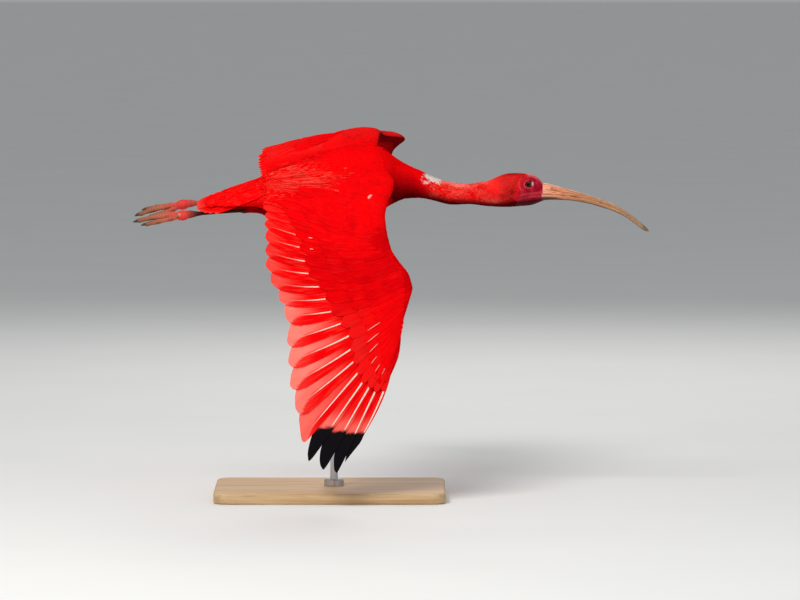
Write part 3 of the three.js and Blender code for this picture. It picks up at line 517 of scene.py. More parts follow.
def on_arm(side, s, back, face, lift):
    """A point on the arm's flesh: along the span, back from the leading edge, and lift."""
    s, back, lift = np.broadcast_arrays(s, back, lift)
    chord = straight(ARM, s, 1)
    c = np.sqrt(np.clip(back / chord, 0, 1))
    # The lift points forward at the front edge and turns upright behind it
    steep = np.clip(c / 0.4, 0, 1) * np.pi / 2
    front = front_edge(side, s)
    a = front - back + lift * np.cos(steep)
    height = arm_height(side, s, front - back, face) + lift * np.sin(steep)
    return on_wing(side, s, a, face * height)


def feather_spots(number):
    """Root, knee and tip of a feather, each as place along the span and place forward."""
    return [np.stack([along(rows, number, 1), along(rows, number, 2)]) for rows in FEATHER_SPOTS]


def feather_line(number, share):
    """A flight feather's line, also between two feathers: share 0 at its root and 1 at its tip."""
    number, share = np.broadcast_arrays(number, share)
    root, knee, tip = feather_spots(number)
    inner = np.hypot(*(knee - root))
    outer = np.hypot(*(tip - knee))
    at = inner / (inner + outer)
    pull = (knee - root * (1 - at) ** 2 - tip * at**2) / (2 * at * (1 - at))
    s, a = root * (1 - share) ** 2 + 2 * pull * share * (1 - share) + tip * share**2
    return s, a


def knee_share(number):
    """The share of a feather's line at which the greater coverts end."""
    root, knee, tip = feather_spots(number)
    inner = np.linalg.norm(knee - root, axis=0)
    return inner / (inner + np.linalg.norm(tip - knee, axis=0))


def vanes(form, place, count, outline, rows, columns, thickness, patch, size, under=None, **carried):
    """Closed feathers: rings of columns over the top and back along the underside.

    place(i, across, share, face) gives level points for feather numbers i, the place across in the
    outline's widths, the share along, and which face (1, 0 at the edges, -1).
    patch(i, across, share, face) gives the place on the baked map, and size the width and length
    that the barbs and strands are measured in. A carried value is a function of the same four, a
    number, or one number for each feather.
    """
    top = np.linspace(-1, 1, columns)
    under = top[-2:0:-1] if under is None else np.array(under, float)
    sideways = np.concatenate([top, under])
    face = np.concatenate([np.sign(1 - np.abs(top)), -np.ones(len(under))])
    even = np.isscalar(rows)
    share = np.linspace(0, 1, rows) if even else np.array(rows, float)
    curve = along if even else straight
    inner, outer = curve(outline, share, 1), curve(outline, share, 2)
    wide = np.where(sideways[None, :] < 0, inner[:, None], outer[:, None])
    shape = (count, len(share), len(sideways))
    i = np.broadcast_to(np.arange(count)[:, None, None], shape)
    across = np.broadcast_to((sideways[None, :] * wide)[None], shape)
    shares = np.broadcast_to(share[None, :, None], shape)
    faces = np.broadcast_to(face[None, None, :], shape)
    points = place(i, across, shares, faces * thickness)
    quads, tris = ring_faces(len(share), len(sideways), count)
    broad, long = [np.broadcast_to(part, count)[i] for part in size]
    carried = {"white": 0.0, "dark": 0.0, "across": across * broad, "length": shares * long, **carried}
    values = {}
    for key, value in carried.items():
        if callable(value):
            value = value(i, across, shares, faces)
        elif np.ndim(value) == 1:
            value = value[i]
        values[key] = np.broadcast_to(value, shape).ravel()
    form.add(points, quads, tris, patch(i, across, shares, faces).reshape(-1, 2), **values)


# Size of a small feather's patch on the baked map, and the shares of its length at which it has rows
TUFT_PATCH = 0.0027
TUFT_ROWS = [0, 0.3, 0.6, 0.84, 1]
LONG_TUFT_ROWS = [0, 0.2, 0.4, 0.6, 0.84, 1]


def tuft_patch(u, v):
    """Each feather is a small patch at its root's place (u, v) on the unwrapped skin."""

    def patch(i, across, share, face):
        return np.stack([u[i] + across * TUFT_PATCH / 2, v[i] + (share - 0.5) * TUFT_PATCH], -1)

    return patch


def tufts(form, place, u, v, size, rows=TUFT_ROWS, thickness=0.1, **carried):
    """Small feathers of five columns over the top, closed by one underneath."""
    patch = tuft_patch(u, v)
    vanes(form, place, len(u), TUFT_VANE, rows, 5, thickness, patch, size, under=[0], **carried)


def setting_in(amount, low, high):
    """A value, by feather or the same for all, that sets in between two shares of the length."""

    def value(i, across, share, face):
        return np.broadcast_to(amount, i.shape[:1])[i] * smooth_step(low, high, share)

    return value


def underneath(amount):
    """A value that only a vane's underside has, used for the painted shade of the undersides."""
    return lambda i, across, share, face: amount * (face < 0)


def tuft_rise(share, depth, tip):
    """How far a small feather rises from its root, depth under the surface, to its tip."""
    return -depth + (depth + tip) * share**0.7


class Value:
    """A node's output that takes part in arithmetic."""

    def __init__(self, finish, socket):
        self.finish = finish
        self.socket = socket

    def maths(self, operation, first, second=0.0):
        return self.finish.node("ShaderNodeMath", {"operation": operation}, {0: first, 1: second})

    def __add__(self, other):
        return self.maths("ADD", self, other)

    __radd__ = __add__

    def __sub__(self, other):
        return self.maths("SUBTRACT", self, other)

    def __rsub__(self, other):
        return self.maths("SUBTRACT", other, self)

    def __mul__(self, other):
        return self.maths("MULTIPLY", self, other)

    __rmul__ = __mul__

    def sine(self):
        return self.maths("SINE", self)

    def size(self):
        return self.maths("ABSOLUTE", self)

    def step(self, low, high):
        """0 below low and 1 above high, or the other way round where low is the greater."""
        settings = {"interpolation_type": "SMOOTHSTEP", "clamp": True}
        if low < high:
            return self.finish.node("ShaderNodeMapRange", settings, {0: self, 1: low, 2: high})
        return 1 - self.finish.node("ShaderNodeMapRange", settings, {0: self, 1: high, 2: low})


def rgb(red, green, blue):
    """A colour given as on screen, 0 to 255, in the light's own measure."""
    linear = [((c / 255 + 0.055) / 1.055) ** 2.4 if c > 10 else c / 255 / 12.92 for c in (red, green, blue)]
    return (*linear, 1.0)


class Finish:
    """A material: its shader's constant values, and the nodes that vary the rest."""

    def __init__(self, name, **constants):
        self.material = bpy.data.materials.new(name)
        self.material.use_nodes = True
        self.tree = self.material.node_tree
        self.shader = self.tree.nodes["Principled BSDF"]
        for key, value in constants.items():
            self.shader.inputs[key.replace("_", " ").title().replace("Ior", "IOR")].default_value = value

    def join(self, value, socket):
        """Feed a socket from a node's output, or set its own value."""
        if isinstance(value, Value):
            self.tree.links.new(value.socket, socket)
        else:
            socket.default_value = value

    def node(self, kind, settings=None, values=None, out=0):
        """One node of a kind: its settings, then the values or links of its sockets."""
        made = self.tree.nodes.new(kind)
        for key, value in (settings or {}).items():
            if key == "stops":
                ramp = made.color_ramp
                while len(ramp.elements) < len(value):
                    ramp.elements.new(0.5)
                for element, (place, colour) in zip(ramp.elements, value):
                    element.position = place
                    element.color = colour
            else:
                setattr(made, key, value)
        for key, value in (values or {}).items():
            self.join(value, made.inputs[key])
        return Value(self, made.outputs[out])

    def feed(self, socket, value):
        self.join(value, self.shader.inputs[socket])

    def carried(self, name):
        return self.node("ShaderNodeAttribute", {"attribute_name": name}, out=2)

    def blend(self, mask, first, second):
        settings = {"data_type": "RGBA", "clamp_factor": True}
        return self.node("ShaderNodeMix", settings, {0: mask, 6: first, 7: second}, out=2)

    def place(self, stretch=(1, 1, 1)):
        """The place in the frame, in metres, stretched along each axis."""
        spot = self.node("ShaderNodeTexCoord", out=3)
        return self.node("ShaderNodeVectorMath", {"operation": "MULTIPLY"}, {0: spot, 1: stretch})

    def vector(self, x, y, z):
        return self.node("ShaderNodeCombineXYZ", {}, {0: x, 1: y, 2: z})

    def ramp(self, share, *stops):
        return self.node("ShaderNodeValToRGB", {"stops": stops}, {0: share})

    def noise(self, scale, detail=3.0, stretch=(1, 1, 1), spot=None, **more):
        """Cloudy noise in the frame's space, or over a vector of its own."""
        values = {"Vector": spot or self.place(stretch), "Scale": scale, "Detail": detail, **more}
        return self.node("ShaderNodeTexNoise", {}, values)

    def cells(self, scale, stretch=(1, 1, 1)):
        """The distance to the edge between small cells."""
        values = {"Vector": self.place(stretch), "Scale": scale}
        return self.node("ShaderNodeTexVoronoi", {"feature": "DISTANCE_TO_EDGE"}, values)

    def relief(self, height, distance, strength):
        """Fine relief: distance in metres at a height of 1."""
        values = {"Height": height, "Distance": distance, "Strength": strength}
        return self.node("ShaderNodeBump", {}, values)


SCARLET = rgb(243, 5, 10)
DEEP_RED = rgb(204, 1, 8)
MAROON = rgb(66, 2, 8)
CORAL = rgb(252, 130, 116)
PALE_STRAND = rgb(255, 112, 84)
DARK_STRAND = rgb(150, 2, 8)
WORN_WHITE = rgb(232, 220, 212)
WORN_BROWN = rgb(176, 136, 122)
BLACK = rgb(20, 18, 21)
# Bare face: dark and pale skin, and painted shade for its creases
FACE_DARK, FACE_PALE, FACE_CREASE_SHADE = rgb(152, 8, 34), rgb(212, 34, 60), rgb(98, 4, 24)
# A painted highlight for the face's ridges and brow, and the colour of its dark spots
FACE_HIGHLIGHT, FACE_SPOT = rgb(236, 104, 112), rgb(120, 6, 26)
IVORY_LIGHT, IVORY_DEEP = rgb(255, 232, 214), rgb(250, 208, 188)


def plumage(name):
    """Scarlet feathers: tone by feather, strands, coral paleness with painted glow and painted sheen, worn
    white, painted shade, black tips, barbs.
    """
    finish = Finish(name, specular_ior_level=0.0)
    own = finish.carried("tone")
    length, across = finish.carried("length"), finish.carried("across")
    tone = own + (finish.noise(60) - 0.5) * 0.9
    colour = finish.blend(tone.step(-0.1, -1.3), SCARLET, DEEP_RED)
    strand = finish.noise(1.0, 4.0, spot=finish.vector(length * 0.05, across * 0.8, own * 9))
    streaked = finish.carried("streak")
    colour = finish.blend(streaked * strand.step(0.5, 0.66), colour, PALE_STRAND)
    colour = finish.blend(streaked * strand.step(0.46, 0.34) * 0.6, colour, DARK_STRAND)
    colour = finish.blend(strand.step(0.52, 0.75) * 0.012, colour, PALE_STRAND)
    # Coral: paleness and mottle, with the painted glow through thin vanes, painted sheen and a painted rim
    # of light
    colour = finish.blend(finish.carried("pale") * (0.55 + strand * 0.9), colour, CORAL)
    grime = finish.blend(strand.step(0.34, 0.5), WORN_BROWN, WORN_WHITE)
    colour = finish.blend(finish.carried("white"), colour, grime)
    # Maroon: painted shade on undersides, under the tail and in hollows, and darker feathers by the jaw
    colour = finish.blend(finish.carried("shade"), colour, MAROON)
    colour = finish.blend(finish.carried("dark"), colour, BLACK)
    finish.feed("Base Color", colour)
    finish.feed("Roughness", 0.62 + (finish.noise(400) - 0.5) * 0.2)
    slant = length - across.size() * 0.8
    barb = (slant * (2 * math.pi)).sine()
    finish.feed("Normal", finish.relief(barb * 0.3 + strand * 0.7, 0.0001, 0.25))
    return finish


def quill():
    """Shafts: ivory where bare, reddening towards the tip."""
    finish = Finish("quill", specular_ior_level=0.15)
    grain = finish.noise(500, 3, (0.2, 1, 1))
    ivory = finish.blend(grain.step(0.3, 0.7), IVORY_LIGHT, IVORY_DEEP)
    red = finish.blend(grain.step(0.3, 0.7), rgb(250, 60, 50), rgb(228, 24, 24))
    # Towards their tips the shafts take the vanes' painted glow of coral
    red = finish.blend(finish.carried("pale"), red, CORAL)
    colour = finish.blend(finish.carried("white"), red, ivory)
    colour = finish.blend(finish.carried("dark"), colour, BLACK)
    finish.feed("Base Color", colour)
    finish.feed("Roughness", 0.4 + grain * 0.15)
    finish.feed("Normal", finish.relief(grain, 0.00008, 0.4))
    return finish


def skin_finish():
    """Red skin under the feathers, and bare crimson wrinkled skin on the face, with painted shade in its
    creases and a painted highlight on its ridges.
    """
    finish = Finish("face_skin", specular_ior_level=0.04)
    blotch = finish.noise(110, 4)
    face = finish.blend(blotch.step(0.35, 0.7), FACE_DARK, FACE_PALE)
    face = finish.blend(finish.carried("red") * 0.8, face, rgb(216, 18, 24))
    # Painted shade in the face's creases
    face = finish.blend(finish.carried("fold"), face, FACE_CREASE_SHADE)
    # Painted highlight on the face's ridges and brow
    face = finish.blend(finish.carried("raised"), face, FACE_HIGHLIGHT)
    face = finish.blend(finish.noise(420, 3).step(0.52, 0.7) * 0.35, face, FACE_SPOT)
    under = finish.blend(blotch.step(0.3, 0.8), SCARLET, rgb(226, 3, 9))
    under = finish.blend(finish.carried("white"), under, WORN_WHITE)
    skin = finish.blend(finish.carried("bare"), under, face)
    # Painted shade: the skin darkens where it lies in shade
    finish.feed("Base Color", finish.blend(finish.carried("shade"), skin, rgb(60, 3, 12)))
    finish.feed("Roughness", 0.5 + (blotch - 0.5) * 0.3)
    wrinkle = finish.cells(900, (0.6, 1, 1.3)).step(0, 0.12)
    fine = finish.noise(1800, 4)
    finish.feed("Normal", finish.relief(wrinkle * 0.7 + fine * 0.6, 0.00018, 0.5))
    return finish


def bill_finish():
    """Horn: salmon at the face, tan and streaked along, grey-brown at the tip, with painted shade in its
    grooves and under the lower half.
    """
    finish = Finish("bill_horn", specular_ior_level=0.3, coat_roughness=0.35)
    share = finish.carried("share")
    across = finish.carried("across")
    wobble = finish.noise(70, 3)
    base = finish.ramp(
        share + (wobble - 0.5) * 0.16,
        (0.0, rgb(250, 170, 136)),
        (0.12, rgb(240, 150, 108)),
        (0.35, rgb(204, 134, 92)),
        (0.7, rgb(196, 150, 108)),
        (0.94, rgb(172, 142, 108)),
        (1.0, rgb(92, 76, 60)),
    )
    drawn_out = finish.vector(share * 3.6, across * 5.5, 0.3)
    streaks = finish.noise(3.2, 5.0, spot=drawn_out, Roughness=0.62)
    colour = finish.blend(streaks.step(0.49, 0.6) * (0.72 + share * 0.2), base, rgb(118, 62, 32))
    colour = finish.blend(streaks.step(0.46, 0.34) * 0.5, colour, rgb(236, 190, 150))
    # Painted shade in the grooves, the nostril's slit and along the gape
    colour = finish.blend(finish.carried("fold"), colour, rgb(96, 46, 26))
    # Painted shade on the lower half's underside
    colour = finish.blend(finish.carried("shade"), colour, rgb(66, 28, 22))
    finish.feed("Base Color", colour)
    finish.feed("Roughness", 0.36 + streaks * 0.3)
    finish.feed("Coat Weight", 0.12 + wobble * 0.12)
    finish.feed("Normal", finish.relief(streaks + finish.noise(1200) * 0.2, 0.00035, 0.5))
    return finish


def eye_finish():
    """A dark brown eye with a black pupil, and the pale corner in front of it."""
    finish = Finish("eye", roughness=0.2, specular_ior_level=0.06, coat_weight=0.05, coat_roughness=0.05)
    ray = finish.carried("ray")
    mottle = finish.noise(2500, 2)
    colour = finish.blend(ray.step(1.9, 2.6), rgb(10, 4, 4), rgb(96, 36, 26))
    colour = finish.blend((ray + mottle * 0.4).step(4.3, 4.8), colour, rgb(96, 14, 24))
    colour = finish.blend(finish.carried("front"), colour, rgb(250, 205, 196))
    finish.feed("Base Color", colour)
    return finish


def leg_finish():
    """Scaled skin, rosy at the ball of the foot and tan to grey-brown along the toes, with painted shade in
    its creases and underneath.
    """
    finish = Finish("leg_skin", specular_ior_level=0.03)
    share = finish.carried("share")
    blotch = finish.noise(260, 4)
    colour = finish.ramp(
        share + (blotch - 0.5) * 0.22,
        (0.0, rgb(206, 96, 82)),
        (BALL_TONE, rgb(222, 66, 60)),
        (0.34, rgb(208, 88, 74)),
        (0.6, rgb(182, 106, 82)),
        (1.0, rgb(136, 96, 72)),
    )
    # Painted shade between the plates and in the joints' creases
    colour = finish.blend(finish.carried("fold"), colour, rgb(84, 36, 28))
    # Painted shade under the toes, and the tail's painted shadow on the shank
    colour = finish.blend(finish.carried("shade"), colour, rgb(38, 12, 6))
    colour = finish.blend(finish.carried("tan"), colour, rgb(238, 158, 112))
    colour = finish.blend(blotch.step(0.62, 0.75) * 0.35, colour, rgb(120, 66, 52))
    finish.feed("Base Color", colour)
    finish.feed("Roughness", 0.5 + (blotch - 0.5) * 0.2)
    scales = finish.cells(1100).step(0.0, 0.15)
    finish.feed("Normal", finish.relief(scales * 0.8 + blotch * 0.2, 0.00016, 0.55))
    return finish


def claw_finish():
    """Dark brown horn, tan where it is carried."""
    finish = Finish("claw_horn", specular_ior_level=0.35)
    grain = finish.noise(500, 3)
    colour = finish.blend(grain.step(0.3, 0.7), rgb(50, 38, 32), rgb(84, 66, 54))
    finish.feed("Base Color", finish.blend(finish.carried("tan"), colour, rgb(196, 122, 88)))
    finish.feed("Roughness", 0.34 + grain * 0.15)
    finish.feed("Normal", finish.relief(grain, 0.00008, 0.4))
    return finish


def wood_finish():
    """Pale oiled hardwood with its grain along the base."""
    finish = Finish("stand_wood", specular_ior_level=0.35)
    bend = finish.noise(7)
    grain = finish.noise(4.0, 6.0, (1.5, 34, 34), Roughness=0.6, Distortion=0.6)
    pores = finish.noise(160, 2, (0.12, 2, 2)).step(0.62, 0.72)
    colour = finish.blend(grain.step(0.3, 0.72), rgb(214, 182, 140), rgb(184, 146, 102))
    colour = finish.blend(bend.step(0.35, 0.7) * 0.25, colour, rgb(200, 160, 116))
    colour = finish.blend(pores * 0.35, colour, rgb(140, 104, 70))
    finish.feed("Base Color", colour)
    finish.feed("Roughness", 0.42 + grain * 0.16)
    finish.feed("Normal", finish.relief(grain * 0.4 - pores * 0.5, 0.0002, 0.35))
    return finish


def steel_finish():
    """Brushed steel with fine turned lines."""
    finish = Finish("stand_metal", metallic=1.0)
    lines = finish.noise(600, 3, (1, 1, 6))
    finish.feed("Base Color", finish.blend(lines, rgb(186, 188, 190), rgb(206, 208, 210)))
    finish.feed("Roughness", 0.26 + lines * 0.14)
    finish.feed("Normal", finish.relief(lines, 0.00003, 0.3))
    return finish


def past_face_edge(points):
    """How far a point lies in front of the feathers' edge on the face."""
    x, y, z = points[..., 0], points[..., 1], points[..., 2]
    return x - straight(FACE_EDGE, z) - 1.6 * ripple(x * 0.5, y, z, 9, 1)


def bare_mask(points):
    """1 on the bare skin of the face and 0 under feathers."""
    return smooth_step(-8, 4, past_face_edge(points))


# Depth of the feather coat over the skin, by place forward
COAT_DEPTH = [(-150, 1.0), (-60, 1.7), (60, 1.7), (96, 1.3), (150, 1.1), (200, 0.9), (240, 0.7)]
# Folds of the cheek under the eye: height, slope forward and depth
CHEEK_FOLDS = ((-0.6, 0.1, 0.3), (-2.9, 0.16, 0.26), (-9.6, 0.2, 0.3), (-12.6, 0.22, 0.28))


def face_relief(points):
    """Lids, folds, mouth line and hollows: how far the skin moves out, with painted shade in its folds and
    a painted highlight on its ridges and brow.
    """
    x, y, z = points[..., 0], points[..., 1], points[..., 2]
    facing = smooth_step(2.5, 6, np.abs(y)) * smooth_step(232, 240, x) * smooth_step(278.5, 276, x)
    dx, dz = x - EYE_X, z - EYE_Z
    lid = np.hypot(dx / LID_LONG, dz / LID_HIGH)
    reach = np.hypot(dx, dz)
    turn_round = np.arctan2(dz, -dx)
    behind = smooth_step(-1.1, -0.2, turn_round) * smooth_step(2.9, 2.2, turn_round)
    rim = 0.95 * bump_at(lid, 1.08, 0.15)
    pit = 5.5 * smooth_step(1.0, 0.8, lid)
    crease = 0.5 * bump_at(lid, 1.45, 0.13) * smooth_step(-2.6, -1.4, dz)
    orbit = 0.55 * bump_at(reach, 12.6 + 0.5 * np.sin(turn_round * 2), 1.0) * behind
    orbit_groove = 0.5 * bump_at(reach, 10.8, 0.8) * behind
    line = straight(MOUTH_LINE, x)
    open_part = smooth_step(240.5, 244, x)
    mouth = 0.6 * bump_at(z, line, 0.7) * open_part
    lip = 0.3 * bump_at(z, line - 2.2, 1.6) * open_part
    lip = lip + 0.4 * bump_at(z, line + 2.4, 1.5) * smooth_step(242, 252, x)
    lores = 0.8 * bump_at(x, 268.5, 4.0) * bump_at(z, 2.6, 3.6)
    cheeks = 0
    for low, slope, depth in CHEEK_FOLDS:
        arc = low + slope * (x - 258) + 0.6 * np.sin((x - 240) / 5)
        cheeks = cheeks + depth * bump_at(z, arc, 0.5) * smooth_step(243, 248, x) * smooth_step(273, 267, x)
    out = (rim - pit - crease + orbit - orbit_groove - mouth + lip - lores - cheeks) * facing
    # Painted shade in the mouth line, lid crease, orbit groove and cheek folds
    fold = facing * np.clip(0.55 * mouth + 1.0 * crease + 0.8 * orbit_groove + 1.5 * cheeks, 0, 1)
    top = along(NECK_AND_HEAD, x)
    # A painted highlight along the brow's top edge, and on the lid rims, orbit and lips
    brow_highlight = 0.65 * smooth_step(4.5, 0.5, top - z) * smooth_step(247, 256, x)
    raised = np.clip(facing * (0.55 * rim + 0.6 * orbit + 0.5 * lip) + brow_highlight, 0, 1)
    return out, fold, raised


# Rings of the skin: forward from and to, and how many
SKIN_RINGS = ((-149, 94, 84), (96, 204, 56), (206, FACE_FRONT, 138))
SKIN_SIDES = 180
THIGH_RINGS, THIGH_SIDES = 40, 48
PLAIN_SKIN = dict.fromkeys(("bare", "fold", "raised", "red", "white"), 0.0)


def make_skin(finish):
    """One skin over trunk, neck, head and thighs, inside the feathers by their depth."""
    form = Form("skin")
    forward = np.concatenate([np.linspace(*part) for part in SKIN_RINGS])
    g = BODY.at_forward(forward)[:, None]
    angle = around(SKIN_SIDES)[None, :]
    bare = bare_mask(BODY.at(g, angle))
    depth = straight(COAT_DEPTH, forward)[:, None] * (1 - bare)
    points = BODY.at(g, angle, -depth)
    out, fold, raised = face_relief(points)
    points[..., 1] += np.sign(points[..., 1]) * out
    white, shade = worn_and_shade(points)
    form.add_rings(
        points,
        in_map(g / BODY.length),
        MAP_MARGIN + 0.6 * angle / (2 * np.pi),
        bare=bare,
        fold=fold * bare,
        raised=raised * bare,
        red=smooth_step(11, 0, past_face_edge(points)),
        white=white * 0.8,
        shade=shade,
    )
    for k, (_, side) in enumerate(SIDES):
        leg = LEGS[side]
        g = np.linspace(0, leg.length, THIGH_RINGS)[:, None]
        angle = around(THIGH_SIDES)[None, :]
        depth = straight([(0, 1.4), (leg.length, 0.6)], g)
        u = 0.03 + 0.48 * k + 0.4 * g / leg.length
        v = 0.66 + 0.3 * angle / (2 * np.pi)
        # The thighs' skin is painted in shade, as they lie under the tail
        form.add_rings(leg.at(g, angle, -depth), u, v, **PLAIN_SKIN, shade=0.8)
    nodes = ("torso", "neck_lower", "neck_upper", "head", "thigh_right", "thigh_left")
    form.build(finish, nodes, crease=70)


# Skin of the arm: span from, to and rings, points from front to rear, depth under the feathers
ARM_SKIN_RINGS, ARM_SKIN_POINTS, ARM_COAT_DEPTH = (-20, 284, 90), 19, 0.9


def make_arm_skin(finish, name, side):
    """The flesh of arm and hand as one rounded form."""
    form = Form(f"arm_{name}")
    s = np.linspace(*ARM_SKIN_RINGS)[:, None]
    # Round the section: 0 at the front edge, 1 at the rear over the arm, and below 0 under it
    top = np.linspace(0, 1, ARM_SKIN_POINTS)
    c = np.concatenate([top, -np.linspace(1, 0, ARM_SKIN_POINTS)[1:-1]])[None, :]
    back = straight(ARM, s, 1) * c**2
    over, under = [on_arm(side, s, back, face, -ARM_COAT_DEPTH) for face in (1, -1)]
    points = np.where((c >= 0)[..., None], over, under)
    # The underside of the arm is painted in shade
    form.add_rings(points, span_share(s), 0.5 + 0.4 * c, **PLAIN_SKIN, shade=0.85 * (c < 0))
    form.build(finish)


def span_share(s):
    """Share of the baked map at a place along the span."""
    return (s - MAP_SPAN_FROM) / MAP_SPAN


# Height at which the painted shade of chest, throat and chin begins, and where it is full
SHADE_FROM = [
    (76, 34), (92, 30), (104, 26), (114, 24), (124, 12), (138, -1), (160, -8), (205, -10),
    (240, -9.5), (262, -7.5),
]
SHADE_FULL = [
    (76, 4), (92, -6), (104, -6), (114, -6), (124, -10), (138, -13), (160, -15.5), (205, -17.5),
    (240, -16.5), (262, -13.3), (276, -11.5), (290, -11.2),
]


def worn_and_shade(points):
    """The worn pale patch on the nape with specks under it, and the painted shade of the underside."""
    x, y, z = points[..., 0], points[..., 1], points[..., 2]
    below = along(NECK_AND_HEAD, x) - z
    # A ragged patch over the nape, narrower on the far side, and specks below it on the near side
    ragged = ripple(x, y * 1.5, z, 5, 8) * 1.4
    narrower = 1.1 * np.maximum(y - 1, 0) + 1.6 * ripple(x, y, z, 9, 12)
    patch = smooth_step(127, 130, x + ragged - narrower) * smooth_step(149, 145.5, x + ragged + narrower)
    patch = patch * smooth_step(7, 4.5, below + ragged) * smooth_step(9, 5, y)
    lower = smooth_step(122, 127, x + ragged * 2) * smooth_step(141, 136, x + ragged * 2)
    lower = lower * smooth_step(4, 6, below) * smooth_step(14, 10, below + ragged) * smooth_step(-2, -5, y)
    speck = smooth_step(-0.2, 0.4, ripple(x, y, z, 4.2, 9))
    white = np.clip(patch + 0.62 * lower * speck, 0, 1)
    # Painted shade darkens the underside between the two lines, and the crown is a little darker than the
    # neck
    start, full = straight(SHADE_FROM, x), straight(SHADE_FULL, x)
    depth = np.clip((start - z) / (start - full), 0, 1)
    shade = 0.97 * depth**0.85 * smooth_step(78, 92, x)
    crown = 0.5 * bump_at(x, 240, 9) * smooth_step(18, 21.5, z)
    return white, np.clip(shade + crown, 0, 0.95)


def body_marks(points, rng):
    """What each body feather's place gives it: tone, strands, paleness with a painted rim of light along
    the neck, worn white, painted shade of the underside, and darker feathers by the jaw.
    """
    x, y, z = points[:, 0], points[:, 1], points[:, 2]
    count = len(x)
    tone = rng.normal(0, 0.22, count) + 0.4 * ripple(x, y, z, 38, 2) - 0.1
    tone = tone - 0.6 * smooth_step(215, 232, x) - 0.35 * smooth_step(140, 160, x)
    # Pale strands over the near shoulder and behind it
    near = smooth_step(6, -2, y)
    streak = 0.95 * bump_at(x, -20, 27) * bump_at(z, 13, 21)
    streak = streak + 0.45 * bump_at(x, -62, 22) * bump_at(z, -2, 13)
    streak = np.clip(streak * near * rng.uniform(0.4, 1.1, count), 0, 1)
    # The neck is mottled with coral, with a painted rim of light along its top, and the throat is paler
    neck = smooth_step(124, 146, x) * smooth_step(222, 200, x)
    rim = smooth_step(6, 1, along(NECK_AND_HEAD, x) - z)
    mottle = ripple(x, y, z, 15, 3) * 0.5 + rng.uniform(-0.5, 0.5, count)
    rim = rim * (0.42 + 0.5 * bump_at(x, 168, 17)) * (0.85 + 0.9 * mottle)
    pale = neck * np.clip(0.08 + 0.2 * mottle + rim, 0, 0.9) + 0.07 * smooth_step(200, 222, x)
    throat = bump_at(x, 217, 10) * bump_at(z, -14, 3.5)
    pale = pale + throat * rng.uniform(0, 0.5, count)
    white, shade = worn_and_shade(points)
    # Darker feathers behind the jaw and along the bare face
    jaw = bump_at(x, 238, 6) * bump_at(z, -2, 6) + bump_at(x, 228, 5) * bump_at(z, -7, 4)
    border = smooth_step(-11, 0, past_face_edge(points)) * (x > 200)
    shade = shade + (0.55 * jaw + 0.3 * border) * rng.uniform(0.35, 1, count)
    shade = np.clip(shade - 0.3 * throat, 0, 0.95)
    streak = np.clip(streak + 0.35 * neck + 0.12 * smooth_step(205, 225, x), 0, 1)
    return {"tone": tone, "streak": streak, "pale": np.clip(pale, 0, 0.85), "white": white, "shade": shade}


# Small feathers: distance apart in a row and between rows, as shares of their length
TUFTS_APART, TUFT_ROWS_APART = 0.36, 0.3
FEWEST_IN_ROW, GIRTH_STEPS = 8, 60
# Half width of a small feather as a share of its length, and how much longer or shorter some are
TUFT_WIDE, TUFT_VARY = 0.3, (0.85, 1.15)


def ring_coat(form, rings, spans, rng, marks, keep=None, v0=MAP_MARGIN, v_share=1 - 2 * MAP_MARGIN):
    """Small feathers over a ringed surface, in staggered rows that point to its start.

    spans: rows of (distance from, distance to, feather length at each, lift of the tips).
    """
    for start, end, long_start, long_end, lift in spans:
        g = start
        places = []
        row = 0
        while g < end:
            length = long_start + (long_end - long_start) * (g - start) / (end - start)
            girth = rings.radius(g, np.linspace(0, 2 * np.pi, GIRTH_STEPS)).mean() * 2 * np.pi
            count = max(FEWEST_IN_ROW, int(girth / (length * TUFTS_APART)))
            angle = (np.arange(count) + 0.5 * (row % 2)) / count * 2 * np.pi
            angle = angle + rng.uniform(-0.25, 0.25, count) * 2 * np.pi / count
            moved = g + rng.uniform(-0.12, 0.12, count) * length
            places.append(np.stack([moved, angle, length * rng.uniform(*TUFT_VARY, count)], 1))
            g += length * TUFT_ROWS_APART
            row += 1
        places = np.concatenate(places)
        roots = rings.at(places[:, 0], places[:, 1])
        if keep is not None:
            wanted = keep(roots, rng)
            places, roots = places[wanted], roots[wanted]
        g0, angle0, length = places.T
        radius = np.maximum(rings.radius(g0, angle0), 2)
        marked = marks(roots, rng)
        slant = rng.normal(0, 0.1, len(g0))
        tip = lift * rng.uniform(0.35, 0.7, len(g0))
        depth = straight(COAT_DEPTH, roots[:, 0]) * 0.9

        def place(i, across, share, face):
            g = g0[i] - share * length[i]
            sideways = across * length[i] * TUFT_WIDE + slant[i] * share * length[i]
            rise = tuft_rise(share, depth[i], tip[i])
            rise = rise + length[i] * 0.018 * (1 - across**2) + face
            return rings.at(np.maximum(g, 0.2), angle0[i] + sideways / radius[i], rise)

        v = v0 + v_share * (angle0 % (2 * np.pi)) / (2 * np.pi)
        tufts(form, place, in_map(g0 / rings.length), v, (length * TUFT_WIDE, length), **marked)


def thigh_marks(points, rng):
    """The marks of the body's feathers, with painted shade on the thighs where they lie under the tail."""
    marks = body_marks(points, rng)
    marks["shade"] = rng.uniform(0.6, 0.85, len(points)) * smooth_step(-56, -80, points[:, 0])
    return marks


